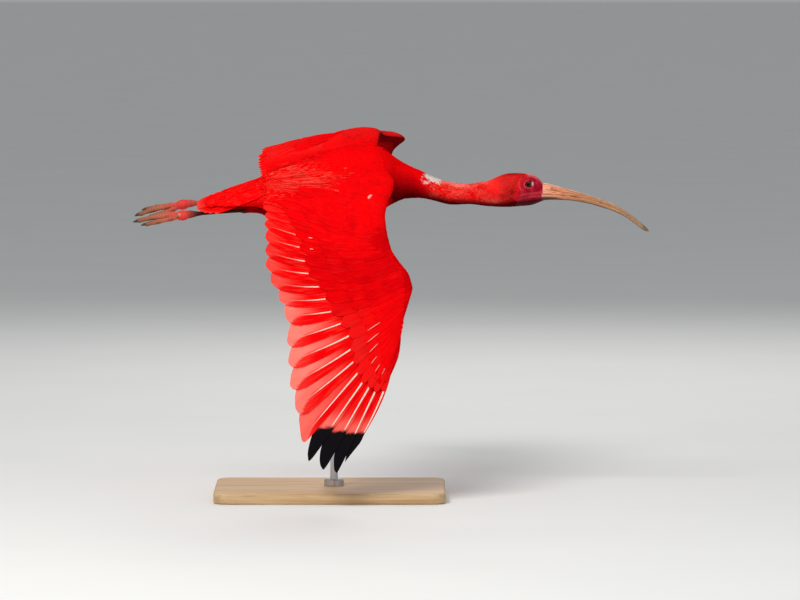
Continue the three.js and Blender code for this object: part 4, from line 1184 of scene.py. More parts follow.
def make_body_coat(finish):
    """Feathers of trunk, neck, head and thighs, growing smaller towards the face."""
    at = BODY.at_forward
    spans = {
        "trunk": [(10, at(60), 15, 15, 0.7), (at(60), at(100), 13, 8, 0.6)],
        "neck": [(at(100), at(130), 8, 6, 0.6), (at(130), at(205), 6, 5, 0.55)],
        "head": [(at(205), at(258), 4.6, 3.0, 0.4)],
    }

    def feathered(roots, rng):
        return past_face_edge(roots) < rng.uniform(-12, 4, len(roots))

    for number, name in enumerate(spans, 1):
        form = Form(f"coat_{name}")
        keep = feathered if name == "head" else None
        ring_coat(form, BODY, spans[name], draws(number), body_marks, keep)
        form.build(finish)
    thighs = Form("coat_thighs")
    for k, (_, side) in enumerate(SIDES):
        leg = LEGS[side].reversed()
        spans = [(3, leg.length - 2, 6, 12, 0.4)]
        ring_coat(thighs, leg, spans, draws(4 + k), thigh_marks, None, MAP_MARGIN + 0.5 * k, 0.46)
    thighs.build(finish)


def span_at(out):
    """Place along the span at a distance out from the spine."""
    return np.interp(out, ARCH_OUT, ARCH_SPAN) + np.minimum(out - ARCH_OUT[0], 0)


def back_height(side, a, out):
    """Height of trunk and wing root together, as one filleted surface across the back."""
    centre, high, wide = straight(TRUNK, a, 1), straight(TRUNK, a, 2), straight(TRUNK, a, 4)
    trunk = centre + high * np.sqrt(np.maximum(1 - (out / wide) ** 2, 0))
    # Past its own edges each surface falls away, so that the other one is left
    trunk = trunk - 60 * smooth_step(0.9, 1.4, out / wide)
    s = span_at(out)
    front, rear = along(LEADING_EDGE, s), along(TRAILING_EDGE, s)
    half = (front - rear) / 2
    camber = WING_CAMBER * (1 - ((a - (front + rear) / 2) / half) ** 2)
    wing = np.interp(s, ARCH_SPAN, ARCH_UP) + np.maximum(camber, -WING_CAMBER)
    wing = wing + np.maximum(arm_height(side, s, a, 1), 2.2) - 22 * smooth_step(-74, -98, a)
    wing = wing - 30 * smooth_step(-3, 8, a - front_edge(side, s))
    soft = 3.4 - 2.7 * smooth_step(40, 74, a)
    return soft * np.log(np.exp(trunk / soft) + np.exp(wing / soft)) - soft * 0.3


def on_back(side, a, out, lift):
    """A point over the back: forward, out from the spine to one side, and lift off the surface."""
    a, out, lift = np.broadcast_arrays(a, out, lift)
    beyond = np.where(out < 0, -1, 1)
    out = np.abs(out)
    step = 1.0
    tilt = (back_height(side, a, out + step) - back_height(side, a, np.maximum(out - step, 0))) / (2 * step)
    length = np.hypot(1, tilt)
    b = beyond * (out - lift * tilt / length)
    return on_trunk(a, side * b, back_height(side, a, out) + lift / length)


# How far behind the middle the wing ends beside the body
WING_REAR = 90
# Mantle: forward from and to, and the distance between feathers
MANTLE_FROM, MANTLE_TO, MANTLE_APART = -86.0, 80, 4.4
# What the baked map of the back spans: outwards, and forward from and how far
BACK_MAP_OUT, BACK_MAP_FROM, BACK_MAP_LONG = 70, -90, 170


def back_map(side, a, out):
    """Place on the baked map of a root on the back."""
    across = 0.5 + side * 0.46 * out / BACK_MAP_OUT
    return across, 0.06 + 0.88 * (a - BACK_MAP_FROM) / BACK_MAP_LONG


def make_back_coat(finish):
    """Mantle and shoulder feathers over the fillet between trunk and wings."""
    form = Form("coat_back")
    for side_number, (_, side) in enumerate(SIDES):
        rng = draws(10 + side_number)
        places = []
        a, row = MANTLE_FROM, 0
        while a < MANTLE_TO:
            reach = 62 - 12 * smooth_step(40, 74, a)
            length = 15 + 13 * smooth_step(20, -40, a)
            count = int(reach / MANTLE_APART)
            out = (np.arange(count) + 0.5 * (row % 2) + 0.2) / count * reach
            out = np.abs(out + rng.uniform(-0.9, 0.9, count))
            places.append(np.stack([a + rng.uniform(-1.5, 1.5, count), out, np.full(count, length)], 1))
            a += MANTLE_APART
            row += 1
        a0, out0, length = np.concatenate(places).T
        length = length * rng.uniform(*TUFT_VARY, len(a0))
        length = np.minimum(length, a0 + WING_REAR - 5 + 18 * smooth_step(16, 6, out0))
        wanted = (length > 9) & ((out0 < 24) | (a0 < front_edge(side, span_at(out0)) - 2))
        a0, out0, length = a0[wanted], out0[wanted], length[wanted]
        count = len(a0)
        near = side < 0
        crest = bump_at(out0, 4, 5) * smooth_step(-95, -70, a0) * smooth_step(30, 0, a0)
        marks = body_marks(on_back(side, a0, out0, 0), rng)
        marks["streak"] = np.clip(marks["streak"] + near * 0.8 * crest * rng.uniform(0.2, 1, count), 0, 1)
        # Painted shade on the far side of the crest, where its feathers go under the near ones
        beyond = 0.5 * (not near) * smooth_step(20, 3, out0)
        beyond = beyond * smooth_step(-70, -40, a0) * smooth_step(34, 8, a0)
        marks["shade"] = beyond * rng.uniform(0.4, 1, count)
        # The far side's upper feathers pale with painted sheen
        marks["pale"] = marks["pale"] + FAR_SHEEN * (not near) * smooth_step(20, 60, out0)
        tip = rng.uniform(0.15, 0.4, count) + 0.8 * crest * near
        inward = 0.16 + rng.normal(0, 0.05, count)
        shift = 3.2 * crest * near

        def place(i, across, share, face):
            a = a0[i] - share * length[i]
            out = out0[i] * (1 - inward[i] * share * length[i] / 40) - shift[i]
            out = out + across * (3.2 + 0.06 * length[i])
            out = np.where(near, out, np.maximum(out, 0.05))
            rise = tuft_rise(share, 1.0, tip[i]) + 0.3 * (1 - across**2) + face
            return on_back(side, a, out, rise)

        tufts(form, place, *back_map(side, a0, out0), (4, length), LONG_TUFT_ROWS, 0.12, **marks)
    make_plumes(form)
    form.build(finish)


# Loose barbs over the near shoulder, how many of them lie along the crest, and their outline
PLUMES, CREST_PLUMES = 460, 60
PLUME_VANE = [(0, 0.3, 0.3), (0.2, 1, 1), (0.7, 0.8, 0.8), (1, 0.1, 0.1)]
# Grids of vanes: rows, or the shares of the length at which they lie, columns and thickness
PLUME_GRID = ([0, 0.1, 0.25, 0.4, 0.55, 0.7, 0.85, 1], 3, 0.1)
FLIGHT_GRID = (60, 15, 0.17)
COVERT_GRID = ([0, 0.15, 0.3, 0.45, 0.6, 0.75, 0.85, 0.92, 0.97, 1], 9, 0.13)
TAIL_GRID = (40, 11, 0.14)
# Width and length that the barbs of a vane are measured in
FLIGHT_SIZE, COVERT_SIZE, TAIL_SIZE = (11, 120), (8, 60), (8, 75)
# Rings and sides of the quills on the wings, of those between the coverts, and of those on the tail
QUILL_GRID, SHOWN_QUILL_GRID, TAIL_QUILL_GRID = (60, 8), (20, 6), (30, 8)


def make_plumes(form):
    """Loose hair-like barbs over the near shoulder, drawn together towards the rear."""
    rng = draws(14)
    a0 = rng.uniform(-48, 42, PLUMES)
    out0 = 3 + 50 * rng.uniform(0, 1, PLUMES) ** 1.2
    on_crest = np.arange(PLUMES) < CREST_PLUMES
    a0 = np.where(on_crest, rng.uniform(-30, 30, PLUMES), a0)
    out0 = np.where(on_crest, rng.uniform(-1, 6, PLUMES), out0)
    length = np.minimum(rng.uniform(26, 58, PLUMES), a0 + WING_REAR - 8)
    half = rng.uniform(0.35, 0.8, PLUMES)
    kind = rng.uniform(0, 1, PLUMES)
    middle = bump_at(a0 - length / 2, -38, 34)
    pale = np.where(kind < 0.4, rng.uniform(0.06, 0.34, PLUMES), 0) * middle
    pale = np.where(on_crest, rng.uniform(0.15, 0.6, PLUMES) * bump_at(a0 - length / 2, -22, 26), pale)
    shade = np.where(kind > 0.74, rng.uniform(0.08, 0.3, PLUMES), 0) * middle
    tone = rng.normal(-0.1, 0.3, PLUMES)
    rise0 = rng.uniform(0.5, 0.9, PLUMES)
    bend = rng.normal(0, 1.2, PLUMES)

    def place(i, across, share, face):
        gone = share * length[i]
        drawn = np.where(on_crest[i], 0, 7 - 0.8 * out0[i])
        out = out0[i] + drawn * 0.9 * gone / (a0[i] + WING_REAR)
        out = out + bend[i] * np.sin(share * math.pi) + across * half[i]
        rise = rise0[i] * smooth_step(0, 0.15, share) - 0.4 * share**3 + face
        return on_back(-1, a0[i] - gone, out, rise)

    vanes(
        form,
        place,
        PLUMES,
        PLUME_VANE,
        *PLUME_GRID,
        tuft_patch(*back_map(-1, a0, out0)),
        (half, length),
        under=[0],
        tone=tone,
        pale=setting_in(pale, 0, 0.3),
        streak=0.5,
        shade=setting_in(shade, 0, 0.3),
    )


def layers_below(number, across, share):
    """How far a vane's place is backed by the next feather, 0 to 1, on both of its sides."""
    pointed = number >= FIRST_POINTED
    inner, outer = [
        np.where(pointed, along(POINTED_VANE, share, k), along(ROUND_VANE, share, k)) for k in (1, 2)
    ]
    ahead = smooth_step(-0.035, 0.035, across - (1 - inner)) * (number < LAST_FEATHER)
    behind = smooth_step(-0.035, 0.035, (outer - 1) - across)
    return np.maximum(ahead, behind)


def vane_glow(number, across, share, s):
    """Painted glow of light through the thin vane: coral where a flight feather's vane is single and free
    of its coverts.
    """
    knee = knee_share(number)
    free = np.clip((share - knee) / (1 - knee), -1, 1)
    primary = smooth_step(FIRST_PRIMARY - 1, FIRST_PRIMARY + 1, number)
    single = 1 - layers_below(number, across, share)
    ahead = smooth_step(0.3 - 0.25 * primary, 0.9 - 0.3 * primary, free)
    pale = single * ahead * straight(CORAL_AMOUNT, number) * (0.8 + 0.2 * smooth_step(0.4, 1, free))
    before_black = bump_at(s, straight(BLACK_FROM, number) - 6, 9) * (number > FIRST_POINTED - 0.5) * 0.5
    edge = 0.16 * smooth_step(0.5, 1, free) * straight(CORAL_AMOUNT, number)
    return np.clip(pale + before_black + edge, 0, 1)


def black_tip(number, s, across):
    """1 in the black of the outer feathers' tips."""
    edge = straight(BLACK_FROM, number) + 1.5 * across + 0.25 * np.sin(across * 9 + number)
    return smooth_step(-0.9, 0.9, s - edge) * (number > FIRST_POINTED - 0.5)


# Splits in each vane: how many, shares of the length between which they lie, width and greatest depth
SPLITS, SPLIT_RANGE, SPLIT_WIDE, SPLIT_DEEP = 3, (0.45, 0.93), 0.012, 0.22


def split_vanes(rng, count):
    """Where each vane's barbs have parted a little: share along, side and depth."""
    share = rng.uniform(*SPLIT_RANGE, (count, SPLITS))
    side = rng.choice([-1, 1], (count, SPLITS))
    return share, side, rng.uniform(0.0, SPLIT_DEEP, (count, SPLITS))


def make_flight_feathers(finish, name, side):
    """The flight feathers of a wing as thin arched vanes, each over the next one out."""
    form = Form(f"flight_{name}")
    rng = draws(20 + (side > 0))
    count = LAST_FEATHER + 1 - FAR_INNERMOST
    tone = rng.normal(0, 0.3, count)
    stretch = rng.normal(0, 0.006, count)
    split_at, split_side, split_deep = split_vanes(rng, count)
    innermost = FAR_INNERMOST if side > 0 else NEAR_INNERMOST
    groups = (
        (np.arange(innermost, FIRST_POINTED - 1), ROUND_VANE),
        (np.arange(FIRST_POINTED - 1, FIRST_POINTED), BROAD_VANE),
        (np.arange(FIRST_POINTED, LAST_FEATHER + 1), POINTED_VANE),
    )
    for group, outline in groups:

        def narrowed(number, across, share):
            """The outline drawn in a little where barbs have parted, and on the outermost edge."""
            edge = EDGE_VANE_SHARE * (1 + EDGE_VANE_SPREAD * smooth_step(0.72, 0.88, share))
            across = np.where((number == LAST_FEATHER) & (across > 0), across * edge, across)
            for k in range(SPLITS):
                at = bump_at(share, split_at[number, k], SPLIT_WIDE)
                hit = (np.sign(across) == split_side[number, k]) * at * split_deep[number, k]
                across = across * (1 - hit * smooth_step(0.3, 0.8, np.abs(across)))
            return across

        def place(i, across, share, face):
            number = group[i]
            across = narrowed(number, across, share)
            s, a = feather_line(number + across, share * (1 + stretch[number]))
            if side > 0:
                a = a - FAR_REACH * share**2 * smooth_step(7, 3, number)
            rise = NEIGHBOUR_LIFT * across - 0.35 * across**2 + face * (1.25 - share)
            return on_wing(side, s, a, rise)

        def patch(i, across, share, face):
            number = group[i]
            left = np.where(face >= 0, 0.25, 0.75)
            u = (number - FAR_INNERMOST + left + across * 0.2) / count
            return np.stack([0.01 + 0.98 * u, 0.02 + 0.96 * share], -1)

        def dark(i, across, share, face):
            number = group[i]
            s, _ = feather_line(number + across, share)
            return black_tip(number, s, across)

        def pale(i, across, share, face):
            number = group[i]
            s, _ = feather_line(number + across, share)
            return vane_glow(number, across, share, s)

        vanes(
            form,
            place,
            len(group),
            outline,
            *FLIGHT_GRID,
            patch,
            FLIGHT_SIZE,
            tone=tone[group],
            pale=pale,
            streak=0.12,
            # painted shade on the undersides
            shade=underneath(0.3),
            dark=dark,
        )
    form.build(finish, (f"wing_{name}_inner", f"wing_{name}_outer"))


def sweep(form, centres, radii, u, v, **carried):
    """A round body along a line: a radius, a map place and values for each ring and side."""
    ahead = np.gradient(centres, axis=0)
    ahead /= np.linalg.norm(ahead, axis=1, keepdims=True)
    across = np.cross(UP, ahead)
    across /= np.linalg.norm(across, axis=1, keepdims=True)
    upright = np.cross(ahead, across)
    angle = around(radii.shape[1])[None, :, None]
    ring = across[:, None] * np.cos(angle) + upright[:, None] * np.sin(angle)
    form.add_rings(centres[:, None] + ring * radii[..., None], u, v, **carried)


# Quills that show between the coverts: feather, share of the way to the knee from and to, paleness
SHOWN_QUILLS = [
    (7, 0.75, 0.82, 0.9), (8, 0.81, 0.87, 0.9), (15.4, 0.33, 0.66, 0.6), (16.4, 0.37, 0.68, 0.62),
    (17.4, 0.41, 0.67, 0.58), (18.5, 0.5, 0.7, 0.5), (19.6, 0.5, 0.7, 0.5), (20.8, 0.42, 0.6, 0.42),
]


# Radius of a quill at its tip, and how much more it has at its root
QUILL_TIP, QUILL_ROOT = 0.24, 1.36


def quill_column(number, spread, sides):
    """Map places round a quill, in a column for each feather."""
    return (number + 0.5 + np.linspace(-spread, spread, sides)[None, :]) / (LAST_FEATHER + 1)


def make_shafts(finish, name, side):
    """The bare quills that stand out on the vanes, ivory past the coverts and red towards the tips."""
    form = Form(f"shafts_{name}")
    rows, sides = QUILL_GRID
    for number in range(LAST_FEATHER + 1):
        share = np.linspace(0.02, 0.992, rows)
        s, a = feather_line(float(number), share)
        knee = float(knee_share(number))
        free = (share - knee) / (1 - knee)
        thick = (QUILL_TIP + QUILL_ROOT * (1 - share) ** 0.9) * (1 - 0.7 * smooth_step(0.7, 0.95, share))
        centres = on_wing(side, s, a, 0.2 + 0.15 * (1 - share))
        amount, fade_from, fade_to = [float(straight(IVORY, number, k)) for k in (1, 2, 3)]
        white = amount * smooth_step(fade_to, fade_from, free)
        white = np.maximum(white, 0.3 * amount * smooth_step(1.1, 0.3, free))
        dark = black_tip(float(number), s, 0.0)
        radii = np.repeat((thick * (1 - 0.8 * dark))[:, None], sides, 1)
        # Coral towards the tip, after the vanes' painted glow
        pale = float(straight(CORAL_AMOUNT, number)) * smooth_step(0.1, 0.5, free)
        shown = {"white": white[:, None], "dark": dark[:, None], "pale": pale[:, None]}
        sweep(form, centres, radii, quill_column(number, 0.35, sides), in_map(share[:, None]), **shown)
    rows, sides = SHOWN_QUILL_GRID
    run = np.linspace(0, 1, rows)
    radii = np.repeat((0.1 + 0.34 * np.sin(run * math.pi) ** 0.5)[:, None], sides, 1)
    for number, start, end, amount in SHOWN_QUILLS:
        share = knee_share(number) * (start + (end - start) * run)
        s, a = feather_line(float(number), share)
        centres = on_wing(side, s, a, covert_rise(side, 2, 1, s, a, 1.0) + 0.6)
        white = (amount * smooth_step(0, 0.2, run) * smooth_step(1, 0.75, run))[:, None]
        v = MAP_MARGIN + 0.3 * share[:, None]
        sweep(form, centres, radii, quill_column(number, 0.3, sides), v, white=white, dark=0.0, pale=0.0)
    form.build(finish)


# Rows of coverts from the rear one forward, over the wing (1) and under it (-1): feather numbers,
# share from and to, lift at root and tip
COVERT_ROWS = {
    1: [
        (np.arange(1.0, LAST_FEATHER + 0.1, 1.0), 0.02, 1.03, 0.9, 1.5),
        (np.arange(1.0, LAST_FEATHER + 0.1, 0.8), -0.02, 0.7, 1.5, 2.3),
        (np.arange(1.0, LAST_FEATHER - 0.4, 0.72), -0.1, 0.46, 2.2, 3.0),
    ],
    -1: [
        (np.arange(0.5, LAST_FEATHER + 0.1, 1.0), 0.02, 0.8, 1.1, 1.5),
        (np.arange(0.5, LAST_FEATHER - 0.4, 0.85), -0.05, 0.5, 1.5, 2.1),
    ],
}
# For each of those rows: how much it pales to coral on the hand, and the width of its feathers
COVERT_CORAL = (0.035, 0.012, 0.0)
COVERT_SWELL = (1.0, 0.85, 0.8)


def covert_rise(side, tier, face, s, a, run):
    """How high a covert stands off the wing: over the flesh of the arm, then over the row behind."""
    low, high = COVERT_ROWS[face][tier][3:]
    return np.maximum(arm_height(side, s, a, face) + 0.3 + 0.3 * tier, low + (high - low) * run)


def make_coverts(finish, name, side):
    """Greater and median coverts over and under the wing, in rows that end before the flight feathers."""
    form = Form(f"coverts_{name}")
    for face_side in (1, -1):
        for tier, (numbers, start, reach, _, _) in enumerate(COVERT_ROWS[face_side]):
            rng = draws(30 + 10 * (side > 0) + 5 * (face_side > 0) + tier)
            count = len(numbers)
            numbers = numbers + rng.uniform(-0.05, 0.05, count)
            longer = 1 + 0.22 * smooth_step(7, 3, numbers)
            ends = knee_share(numbers) * reach * longer * rng.uniform(0.99, 1.01, count)
            primary = smooth_step(FIRST_PRIMARY - 0.5, FIRST_PRIMARY + 1.5, numbers)
            # Random tone, with painted shade darkening the coverts towards the hand, where the wing turns
            # from the light; the primary coverts are lighter again
            tone = rng.normal(0, 0.1, count) - 0.45 - 0.35 * smooth_step(5, 10, numbers) + 0.5 * primary
            pale = COVERT_CORAL[tier] * primary * rng.uniform(0.6, 1.4, count)
            # The far wing's upper coverts pale with painted sheen
            pale = pale + FAR_SHEEN * (side > 0) * (face_side > 0) * smooth_step(1, 6, numbers)
            swell = COVERT_SWELL[tier]

            def place(i, across, share, face):
                number = np.minimum(numbers[i] + across * swell, LAST_FEATHER + 0.2)
                s, a = feather_line(number, start + (ends[i] - start) * share)
                rise = covert_rise(side, tier, face_side, s, a, np.minimum(1, share * 2))
                rise = rise + face_side * (0.5 * across * swell) - 0.3 * across**2 + face
                return on_wing(side, s, a, face_side * rise)

            s0, a0 = feather_line(numbers, np.full(count, 0.2))
            v = 0.5 + face_side * (0.02 + 0.44 * (a0 + 100) / 200)
            vanes(
                form,
                place,
                count,
                COVERT_VANE,
                *COVERT_GRID,
                tuft_patch(in_map(span_share(s0)), v),
                COVERT_SIZE,
                tone=tone,
                pale=setting_in(pale, 0.3, 0.9),
                streak=0.015,
                # painted shade on the underside
                shade=0.0 if face_side > 0 else 0.6,
            )
    form.build(finish)


# White tips among the lesser coverts of the near wing: along the span, place forward
FLECKS = [(46, 63)]
# Painted sheen of light glancing over the far wing's upper side: how much it pales towards coral
FAR_SHEEN = 0.05
# The way that small wing feathers point, by place along the span: outwards and back
LIE = [
    (-20, -0.1, 1), (26, -0.25, 0.97), (66, -0.35, 0.94), (110, -0.1, 1), (153, 0.12, 0.99),
    (185, 0.4, 0.92), (215, 0.62, 0.78), (257, 0.9, 0.44), (290, 0.97, 0.25),
]


# Rows of lesser coverts: the part of the arm that they cover, and the span that they cover
ARM_COAT_REACH, ARM_COAT_FROM, ARM_COAT_TO = 0.86, -16.0, 290


def make_arm_coat(finish, name, side):
    """Lesser coverts over and under the arm, from the leading edge back."""
    form = Form(f"coat_arm_{name}")
    for face_side in (1, -1):
        rng = draws(50 + 10 * (side > 0) + 5 * (face_side > 0))
        places = []
        back_share = 0.0
        while back_share < ARM_COAT_REACH:
            s = ARM_COAT_FROM
            while s < ARM_COAT_TO:
                chord = float(straight(ARM, s, 1))
                shorter = float(smooth_step(330, 200, s) * 0.45 + 0.55)
                length = (6.5 + 8.5 * min(1, back_share * 3)) * shorter
                moved = s + rng.uniform(-0.8, 0.8)
                places.append((moved, back_share * chord + rng.uniform(-0.6, 0.6), length))
                s += length * 0.34
            back_share += 0.035 + 0.03 * min(1, back_share * 4)
        s0, back0, length = np.array(places).T
        back0 = np.maximum(back0, 0.05)
        count = len(s0)
        length = length * rng.uniform(*TUFT_VARY, count)
        roots = on_arm(side, s0, back0, face_side, 0)
        tone = rng.normal(0, 0.16, count) - 0.35 + 0.35 * ripple(*roots.T, 42, 5)
        # Painted shade: the lesser coverts darken towards the hand, where the wing turns from the light
        tone = tone - 0.5 * smooth_step(50, 130, s0)
        white = np.zeros(count)
        if side < 0 and face_side > 0:
            for s_at, a_at in FLECKS:
                white[np.argmin(np.hypot(s0 - s_at, front_edge(side, s0) - back0 - a_at))] = 0.55
        x, z = roots[:, 0], roots[:, 2]
        by_body = bump_at(x, -40, 34) * bump_at(z, -12, 16) * smooth_step(70, 30, s0)
        streak = np.clip(0.015 + 0.5 * by_body * rng.uniform(0.4, 1, count), 0, 1) * (face_side > 0)
        out_way, back_way = straight(LIE, s0, 1), straight(LIE, s0, 2)
        tip = rng.uniform(0.12, 0.36, count)

        def place(i, across, share, face):
            go = share * length[i]
            wide = across * length[i] * 0.32
            s = s0[i] + out_way[i] * go + back_way[i] * wide
            back = back0[i] + back_way[i] * go - out_way[i] * wide
            rise = tuft_rise(share, 0.7, tip[i]) + length[i] * 0.014 * (1 - across**2) + face
            return on_arm(side, np.clip(s, -20, 296), np.maximum(back, 0), face_side, rise)

        tufts(
            form,
            place,
            in_map(span_share(s0)),
            0.5 + face_side * (0.02 + 0.46 * back0 / 80),
            (length * TUFT_WIDE, length),
            tone=tone,
            # the far wing's upper side pales with painted sheen
            pale=FAR_SHEEN * (side > 0) * (face_side > 0) * smooth_step(-10, 70, s0),
            streak=streak,
            white=setting_in(white, 0.7, 0.84),
            # painted shade on the underside
            shade=0.0 if face_side > 0 else 0.85,
        )
    form.build(finish)


# Where the tail feathers begin along the trunk, and how much lower each pair lies than the next one in
TAIL_START, TAIL_STEP_DOWN = -100, 0.55


def make_tail(finish, shaft_finish):
    """Twelve tail feathers in a closed fan, and their shafts."""
    form = Form("tail_feathers")
    shafts = Form("tail_shafts")
    rng = draws(70)
    for _, side in SIDES:
        for k in range(TAIL_FEATHERS):
            # Of the middle pair, the near feather lies on top
            level = -1 if (k == 0 and side < 0) else k
            # The shafts fan out from root to tip, and the outer feathers are shorter
            root, tip = 2 + 1.7 * k, 3.5 + 3.2 * k
            end = -174.5 + 0.92 * k * k
            tone = rng.normal(0, 0.25)

            def shaft_line(share):
                return TAIL_START + (end - TAIL_START) * share, root + (tip - root) * share

            def place(i, across, share, face):
                a, out = shaft_line(share)
                wide = np.where(across < 0, 8.5, 8.0) * across
                lift = -TAIL_STEP_DOWN * level + 0.1 * across - 0.3 * across**2 + face
                return on_trunk(a, side * (out + wide), along(TAIL_LINE, a) + lift)

            column = (k + TAIL_FEATHERS * (side > 0)) / (2 * TAIL_FEATHERS)

            def patch(i, across, share, face):
                u = column + np.where(face >= 0, 0.021, 0.062) + across * 0.018
                return np.stack([0.01 + 0.98 * u, MAP_MARGIN + 0.5 * share], -1)

            vanes(
                form,
                place,
                1,
                TAIL_VANE,
                *TAIL_GRID,
                patch,
                TAIL_SIZE,
                tone=tone,
                pale=setting_in(0.2, 0.85, 1.0),
                streak=0.1,
                # painted shade on the undersides
                shade=underneath(0.35),
            )
            rows, sides = TAIL_QUILL_GRID
            share = np.linspace(0.02, 0.985, rows)
            a, out = shaft_line(share)
            centres = on_trunk(a, side * out, along(TAIL_LINE, a) - TAIL_STEP_DOWN * level + 0.1)
            radii = np.repeat((0.2 + 0.4 * (1 - share))[:, None], sides, 1)
            u, v = 0.01 + 0.98 * (column + 0.04), MAP_MARGIN + 0.9 * share[:, None]
            sweep(shafts, centres, radii, u, v, white=0.1, dark=0.0, pale=0.0)
    form.build(finish, ("tail",))
    shafts.build(shaft_finish)


# Tail coverts: rows along the trunk, and the distance between feathers in a row
TAIL_COVERT_ROWS, TAIL_COVERTS_APART = np.arange(-140, -84, 5.5), 4.2


def make_tail_coverts(finish):
    """Small feathers over and under the root of the tail."""
    form = Form("tail_coverts")
    for face_side in (1, -1):
        rng = draws(75 + (face_side > 0))
        places = []
        for a in TAIL_COVERT_ROWS:
            reach = 9 + 12 * smooth_step(-150, -100, a)
            count = int(2 * reach / TAIL_COVERTS_APART)
            out = np.linspace(-reach, reach, count) + rng.uniform(-0.8, 0.8, count)
            length = 24 - 4 * np.abs(out) / reach
            moved = a + rng.uniform(-1.5, 1.5, count)
            places.append(np.stack([moved, out, length * rng.uniform(0.9, 1.1, count)], 1))
        a0, out0, length = np.concatenate(places).T
        count = len(a0)
        tone = rng.normal(0, 0.35, count)
        tip = rng.uniform(0.05, 0.3, count)

        def flesh(a, out):
            """Height of trunk and tail together, as one filleted surface."""
            centre = straight(TRUNK, a, 1)
            tall = straight(TRUNK, a, 2 if face_side > 0 else 3)
            wide = straight(TRUNK, a, 4)
            inside = np.sqrt(np.maximum(1 - (out / (wide + 3)) ** 2, 0))
            tail = along(TAIL_LINE, a) + face_side * (1.4 if face_side > 0 else 3.6)
            body = centre + face_side * tall * inside
            soft = 1.5 * face_side
            return soft * np.log(np.exp(body / soft) + np.exp(tail / soft))

        def place(i, across, share, face):
            a = a0[i] - share * length[i]
            out = out0[i] * (1 - 0.06 * share) + across * 4.0
            rise = tuft_rise(share, 0.9, tip[i]) + 0.4 * (1 - across**2) + face
            return on_trunk(a, out, flesh(a, out) + face_side * rise)

        tufts(
            form,
            place,
            0.25 + 0.5 * (face_side > 0) + 0.2 * out0 / 26,
            0.06 + 0.88 * (a0 + 145) / 65,
            (4, length),
            LONG_TUFT_ROWS,
            0.11,
            tone=tone,
            pale=0.0,
            streak=0.15,
            # painted shade on the underside
            shade=0.0 if face_side > 0 else 0.5,
        )
    form.build(finish)


NOSTRIL_X, NOSTRIL_LONG = 288.5, 5.2
# Where the horn begins under the face's skin, and half the gap between its two halves
HORN_START, HALF_GAPE = 275.2, 0.16


def make_bill(finish, upper):
    """Half of the bill, round outside and flat along the gape, with its long side groove."""
    rows, sides = 150, 40
    x = np.linspace(HORN_START, BILL[-1][0], rows)[:, None]
    top, line, under, wide = [along(BILL, x, k) for k in (1, 2, 3, 4)]
    edge = line + (HALF_GAPE if upper else -HALF_GAPE)
    height = (top if upper else under) - edge
    angle = np.linspace(0, np.pi, sides)[None, :]
    share = np.clip((x - x[0]) / (x[-1] - x[0]), 0, 1)
    round_end = np.sqrt(np.clip((x[-1] + 0.15 - x) / 2.5, 0, 1))
    rise = np.sin(angle) ** 0.9
    y = wide * np.cos(angle)
    z = height * rise
    if upper:
        groove_at = 0.44 - 0.12 * share
        groove = bump_at(rise, groove_at, 0.07) * smooth_step(0.02, 0.06, share)
        groove = groove * smooth_step(1.0, 0.8, share)
        slit = bump_at(x, NOSTRIL_X, NOSTRIL_LONG / 2) ** 2 * bump_at(rise, 0.6, 0.055)
        ridge = bump_at(rise, groove_at + 0.16, 0.07) * smooth_step(0.02, 0.3, share)
        y = y * (1 - 0.085 * groove) * (1 - 0.2 * slit) * (1 + 0.02 * ridge)
        # Painted shade in the groove and the nostril's slit
        fold = np.clip(0.55 * groove + 1.0 * slit, 0, 1)
        shade = 0.0
    else:
        groove = bump_at(rise, 0.5, 0.08) * smooth_step(0.1, 0.2, share) * smooth_step(0.95, 0.7, share)
        y = y * (1 - 0.05 * groove)
        # Painted shade in the lower half's groove
        fold = 0.3 * groove
        # Painted shade along the underside, reaching higher at the base
        base = smooth_step(0.26, 0.04, share)
        shade = smooth_step(0.55 - 0.35 * base, 0.95 - 0.42 * base, rise) * (0.8 + 0.18 * base)
    # Painted shade along the gape's edge, where the halves meet
    at_edge = bump_at(rise, 0.0, 0.06) * (np.abs(np.cos(angle)) > 0.5)
    lumpy = 0.012 * ripple(x, y, z, 14, 6) + 0.006 * ripple(x, y * 2, z * 2, 5, 7)
    y, z = y * (1 + lumpy), z * (1 + lumpy * np.minimum(1, rise * 3))
    points = np.stack([x + 0 * y, y * round_end, edge + z * round_end], -1)
    half = "upper" if upper else "lower"
    form = Form(f"bill_{half}_horn")
    form.add_rings(
        points,
        in_map(share),
        in_map(angle / np.pi),
        share=share,
        across=rise,
        fold=np.clip(fold + 0.35 * at_edge, 0, 1),
        shade=shade,
    )
    form.build(finish, (f"bill_{half}",), crease=60)


# How far the eye's clear front bulges, and the play between ball and lids
CORNEA, EYE_PLAY = 0.35, 0.05


def make_eye(finish, name, side):
    """A polished ball whose clear front stands a little proud, set in its lids."""
    form = Form(f"eyeball_{name}")
    rows, sides = 40, 64
    polar = np.linspace(0.02, math.pi - 0.02, rows)[:, None]
    angle = around(sides)[None, :]
    radius = EYE_RADIUS - EYE_PLAY + CORNEA * smooth_step(0.75, 0.2, polar)
    dx = radius * np.sin(polar) * np.cos(angle)
    dz = radius * np.sin(polar) * np.sin(angle)
    y = EYE_OUT - CORNEA + radius * np.cos(polar)
    points = np.stack([EYE_X + dx, side * (y + 0 * dx), EYE_Z + dz], -1)
    ray = np.hypot(dx + EYE_BACK, dz)
    front = smooth_step(3.2, 3.8, dx) * smooth_step(3.2, 2.2, np.abs(dz)) * (np.cos(polar) > 0)
    v = 0.25 + 0.5 * (np.cos(polar) < 0) + dz / 28
    form.add_rings(points, 0.5 + dx / 14, v, ray=ray, front=front)
    form.build(finish, (f"eye_{name}",), crease=180)


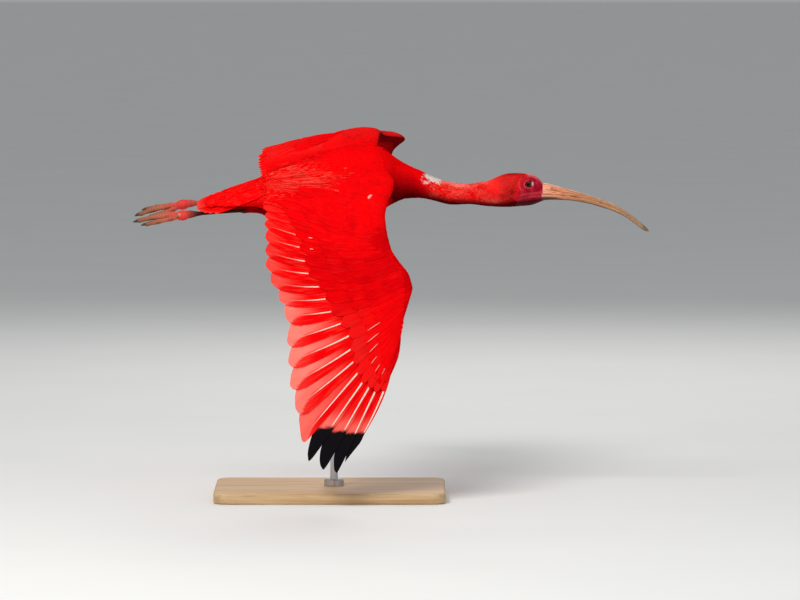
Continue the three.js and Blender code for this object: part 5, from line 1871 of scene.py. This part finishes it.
def toe_line(side, toe, share):
    """A front toe and its claw, from the ball of the foot to the claw's point."""
    length, spread, arches, _, drops = toe
    foot = 0 if side < 0 else 1
    a = BALL[0] - BALL_LONG - TOE_GAP - (length + CLAW_LENGTH) * share
    b = side * (BALL[1] + spread * np.sin(share * math.pi / 2))
    return on_trunk(a, b, BALL[2] - drops[foot] * share + arches[foot] * np.sin(math.pi * share))


def hind_line(side, share):
    """The hind toe, with its nail bent down at the end."""
    back, out, up = HIND_WAY[side]
    gone = HIND_LENGTH * np.minimum(share, HIND_NAIL)
    nail = np.maximum(share - HIND_NAIL, 0) / (1 - HIND_NAIL)
    a = BALL[0] - BALL_LONG + back * gone - 5 * nail
    return on_trunk(a, side * (BALL[1] + out * gone), BALL[2] + up * gone - 3.5 * nail)


def toe_body(form, line, radius, end, joints, index, tan=0.0):
    """A toe with swollen joints, pads underneath and narrow plates along its top."""
    rows, sides = 110, 24
    share = np.linspace(-0.03, end, rows)[:, None]
    run = np.clip(share / end, 0, 1)
    joint = 0.5 + 0.5 * np.cos(run * joints * 2 * np.pi)
    thick = radius * (0.88 + 0.18 * joint**2) * (1 - TOE_TAPER * run)
    thick = thick * (1 + TOE_FLARE * smooth_step(0.22, 0.0, run))
    angle = around(sides)[None, :]
    top = smooth_step(0.1, 0.8, np.sin(angle))
    sole = smooth_step(0.0, 0.9, -np.sin(angle))
    plates = np.abs(np.sin(run * 16 * np.pi))
    pads = 0.5 - 0.5 * np.cos(run * (joints * 2) * 2 * np.pi)
    radii = thick * (1 + 0.05 * plates * top + 0.07 * pads * sole)
    round_end = np.sqrt(np.clip((1.004 - run) * 18, 0, 1))
    radii = radii * round_end * (0.9 + 0.1 * np.cos(angle) ** 2)
    # Painted shade between the plates on top and in the joints' creases underneath
    fold = 0.6 * smooth_step(0.35, 0.05, plates) * top
    fold = fold + 0.5 * smooth_step(0.4, 0.95, joint) * (1 - top) * 0.8
    sweep(
        form,
        line(share[:, 0]),
        radii,
        in_map(run),
        (index + 0.05 + 0.9 * np.linspace(0, 1, sides)[None, :]) / 12,
        share=BALL_TONE + (1 - BALL_TONE) * run,
        fold=np.clip(fold, 0, 1),
        # painted shade under the toes
        shade=0.45 * smooth_step(0.2, 1, -np.sin(angle)) * smooth_step(0.1, 0.5, run),
        tan=tan,
    )


# How far the shank is in shade on each leg: lit from this share of its length on, dark up to that
SHANK_SHADE = {-1: (1.0, 0.75), 1: (0.85, 0.6)}


def shank_body(form, side):
    """The shank with narrow plates along its top, running a little way into the foot."""
    rows, sides = 90, 28
    hock, ball = [on_trunk(a, side * b, h) for a, b, h in (HOCK, BALL)]
    share = np.linspace(0, 1, rows)[:, None]
    reach = share * (1 + FOOT_OVERLAP)
    angle = around(sides)[None, :]
    top = smooth_step(0.1, 0.8, np.sin(angle))
    plates = np.abs(np.sin(share * 24 * np.pi))
    radii = straight(SHANK, reach) * (1 + 0.04 * plates * top)
    sweep(
        form,
        hock + (ball - hock) * reach,
        radii,
        in_map(share),
        in_map(angle / (2 * np.pi)),
        share=BALL_TONE * smooth_step(0.8, 1.0, share),
        # painted shade between the plates, and the tail's painted shadow with a little shade all along
        fold=0.5 * smooth_step(0.3, 0.05, plates) * top,
        shade=0.15 + 0.8 * smooth_step(*SHANK_SHADE[side], share),
        tan=0.0,
    )


def ball_body(form, side):
    """The round ball of the foot, from which the toes grow."""
    rows, sides = 36, 28
    polar = np.linspace(0.02, np.pi - 0.02, rows)[:, None]
    angle = around(sides)
    middle = on_trunk(BALL[0] - BALL_LONG - TOE_GAP, side * BALL[1], BALL[2])
    ring = FAR * (np.cos(angle) * BALL_WIDE)[:, None] + UP * (np.sin(angle) * BALL_HIGH)[:, None]
    centres = middle + FORWARD * (np.cos(polar) * BALL_LONG)[..., None]
    points = centres + ring[None] * np.sin(polar)[..., None]
    v = 0.8 + 0.15 * angle[None, :] / 6.3
    form.add_rings(points, 0.1 + 0.2 * polar, v, share=BALL_TONE, fold=0.0, shade=0.0, tan=0.0)


def make_leg(finish, claw, name, side):
    """Shank, foot with its four toes, and claws."""
    shank = Form(f"shank_skin_{name}")
    shank_body(shank, side)
    shank.build(finish, (f"shank_{name}",))
    foot = Form(f"foot_skin_{name}")
    ball_body(foot, side)
    claws = Form(f"claws_{name}")
    for index, toe in enumerate(TOES):
        line = partial(toe_line, side, toe)
        end = toe[0] / (toe[0] + CLAW_LENGTH)
        toe_body(foot, line, toe[3], end, 3, index)
        claw_body(claws, line, toe[3], end, index)
    line = partial(hind_line, side)
    toe_body(foot, line, HIND_RADIUS, HIND_NAIL, 1, 3, tan=0.75)
    claw_body(claws, line, HIND_RADIUS * 0.7, HIND_NAIL, 3, tan=0.8)
    foot.build(finish, (f"foot_{name}",))
    nodes = [f"claw_{name}_{toe}" for toe in ("inner", "middle", "outer", "hind")]
    claws.build(claw, nodes)


def claw_body(form, line, radius, end, index, tan=0.0):
    """A claw that grows out of the toe's end, flat beneath and drawn to a point."""
    rows, sides = 24, 16
    run = np.linspace(0, 1, rows)[:, None]
    share = end - 0.02 + (1 - end + 0.02) * run
    thick = radius * 0.62 * (1 - run**1.6) * 0.95 + 0.08
    angle = around(sides)[None, :]
    radii = thick * np.where(np.sin(angle) < -0.3, 0.75, 1.0)
    v = (index + 0.05 + 0.9 * angle / 6.3) / 4
    sweep(form, line(share[:, 0]), radii, in_map(run), v, tan=tan)


def finish_stand():
    """The CAD's own base and rod, in wood and steel."""
    for node, finish in (("stand_base", wood_finish()), ("stand_rod", steel_finish())):
        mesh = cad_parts[node].data
        mesh.materials.clear()
        mesh.materials.append(finish.material)


# Photo's view: the picture's middle lies ahead of and under the bird's own middle
CAMERA_ELEVATION = 4
PICTURE_MIDDLE = (0.091, -0.143)
CAMERA_AWAY = 8.0
PICTURE_WIDTH = 1.04
SENSOR = 36


def make_camera():
    """A long lens from the bird's right side, looking down a little."""
    tilt = math.radians(CAMERA_ELEVATION)
    look = Vector((0, math.cos(tilt), -math.sin(tilt)))
    up = Vector((0, math.sin(tilt), math.cos(tilt)))
    ahead, above = PICTURE_MIDDLE
    aim = Vector((ahead, 0, FLYING_HEIGHT * MM)) + up * above
    data = bpy.data.cameras.new("camera")
    data.sensor_width = SENSOR
    data.lens = SENSOR * CAMERA_AWAY / PICTURE_WIDTH
    data.clip_end = 100
    camera = bpy.data.objects.new("camera", data)
    camera.location = aim - look * CAMERA_AWAY
    camera.rotation_euler = look.to_track_quat("-Z", "Y").to_euler()
    bpy.context.scene.collection.objects.link(camera)
    bpy.context.scene.camera = camera


def area_light(name, place, size, power, colour):
    data = bpy.data.lights.new(name, "AREA")
    data.shape = "DISK"
    data.size = size
    data.energy = power
    data.color = colour
    light = bpy.data.objects.new(name, data)
    light.location = place
    light.rotation_euler = (Vector(LIT_MIDDLE) - Vector(place)).to_track_quat("-Z", "Y").to_euler()
    bpy.context.scene.collection.objects.link(light)


# Lights: place, width, power and colour, all turned to the middle of the model
LIGHTS = {
    "key": ((-1.1, -2.1, 2.6), 1.2, 78, (1, 0.98, 0.95)),
    "fill": ((1.9, -1.9, 1.0), 1.8, 6, (0.95, 0.98, 1)),
    "back": ((0.4, 2.4, 2.0), 1.6, 22, (1, 0.98, 0.95)),
}
LIT_MIDDLE = (0.05, 0, 0.38)
ROOM_COLOUR, ROOM_STRENGTH = (0.80, 0.83, 0.86, 1), 0.42
FLOOR_REACH = 30.0


def make_studio():
    """Soft studio light and a plain pale floor."""
    for name, (place, size, power, colour) in LIGHTS.items():
        area_light(name, place, size, power, colour)
    world = bpy.data.worlds.new("studio")
    world.use_nodes = True
    shade = world.node_tree.nodes["Background"]
    shade.inputs["Color"].default_value = ROOM_COLOUR
    shade.inputs["Strength"].default_value = ROOM_STRENGTH
    bpy.context.scene.world = world
    finish = Finish("floor", specular_ior_level=0.2)
    grain = finish.noise(4, 3)
    finish.feed("Base Color", finish.blend(grain, rgb(232, 232, 230), rgb(238, 238, 236)))
    finish.feed("Roughness", 0.75 + grain * 0.1)
    mesh = bpy.data.meshes.new("floor")
    corners = [(x * FLOOR_REACH, y * FLOOR_REACH, 0) for x, y in ((-1, -1), (1, -1), (1, 1), (-1, 1))]
    mesh.from_pydata(corners, [], [(0, 1, 2, 3)])
    mesh.materials.append(finish.material)
    floor = bpy.data.objects.new("floor", mesh)
    bpy.context.scene.collection.objects.link(floor)
    bpy.context.scene.view_settings.view_transform = "Standard"


def dress():
    """Every piece of the bird in its finish."""
    coat = plumage("plumage")
    vane = plumage("plumage_vane")
    shaft = quill()
    flesh = skin_finish()
    make_skin(flesh)
    make_body_coat(coat)
    make_back_coat(coat)
    for name, side in SIDES:
        make_arm_skin(flesh, name, side)
        make_arm_coat(coat, name, side)
        make_coverts(coat, name, side)
        make_flight_feathers(vane, name, side)
        make_shafts(shaft, name, side)
    make_tail(vane, shaft)
    make_tail_coverts(coat)
    horn = bill_finish()
    make_bill(horn, True)
    make_bill(horn, False)
    ball = eye_finish()
    scaled = leg_finish()
    claw = claw_finish()
    for name, side in SIDES:
        make_eye(ball, name, side)
        make_leg(scaled, claw, name, side)
    finish_stand()


dress()
make_camera()
make_studio()
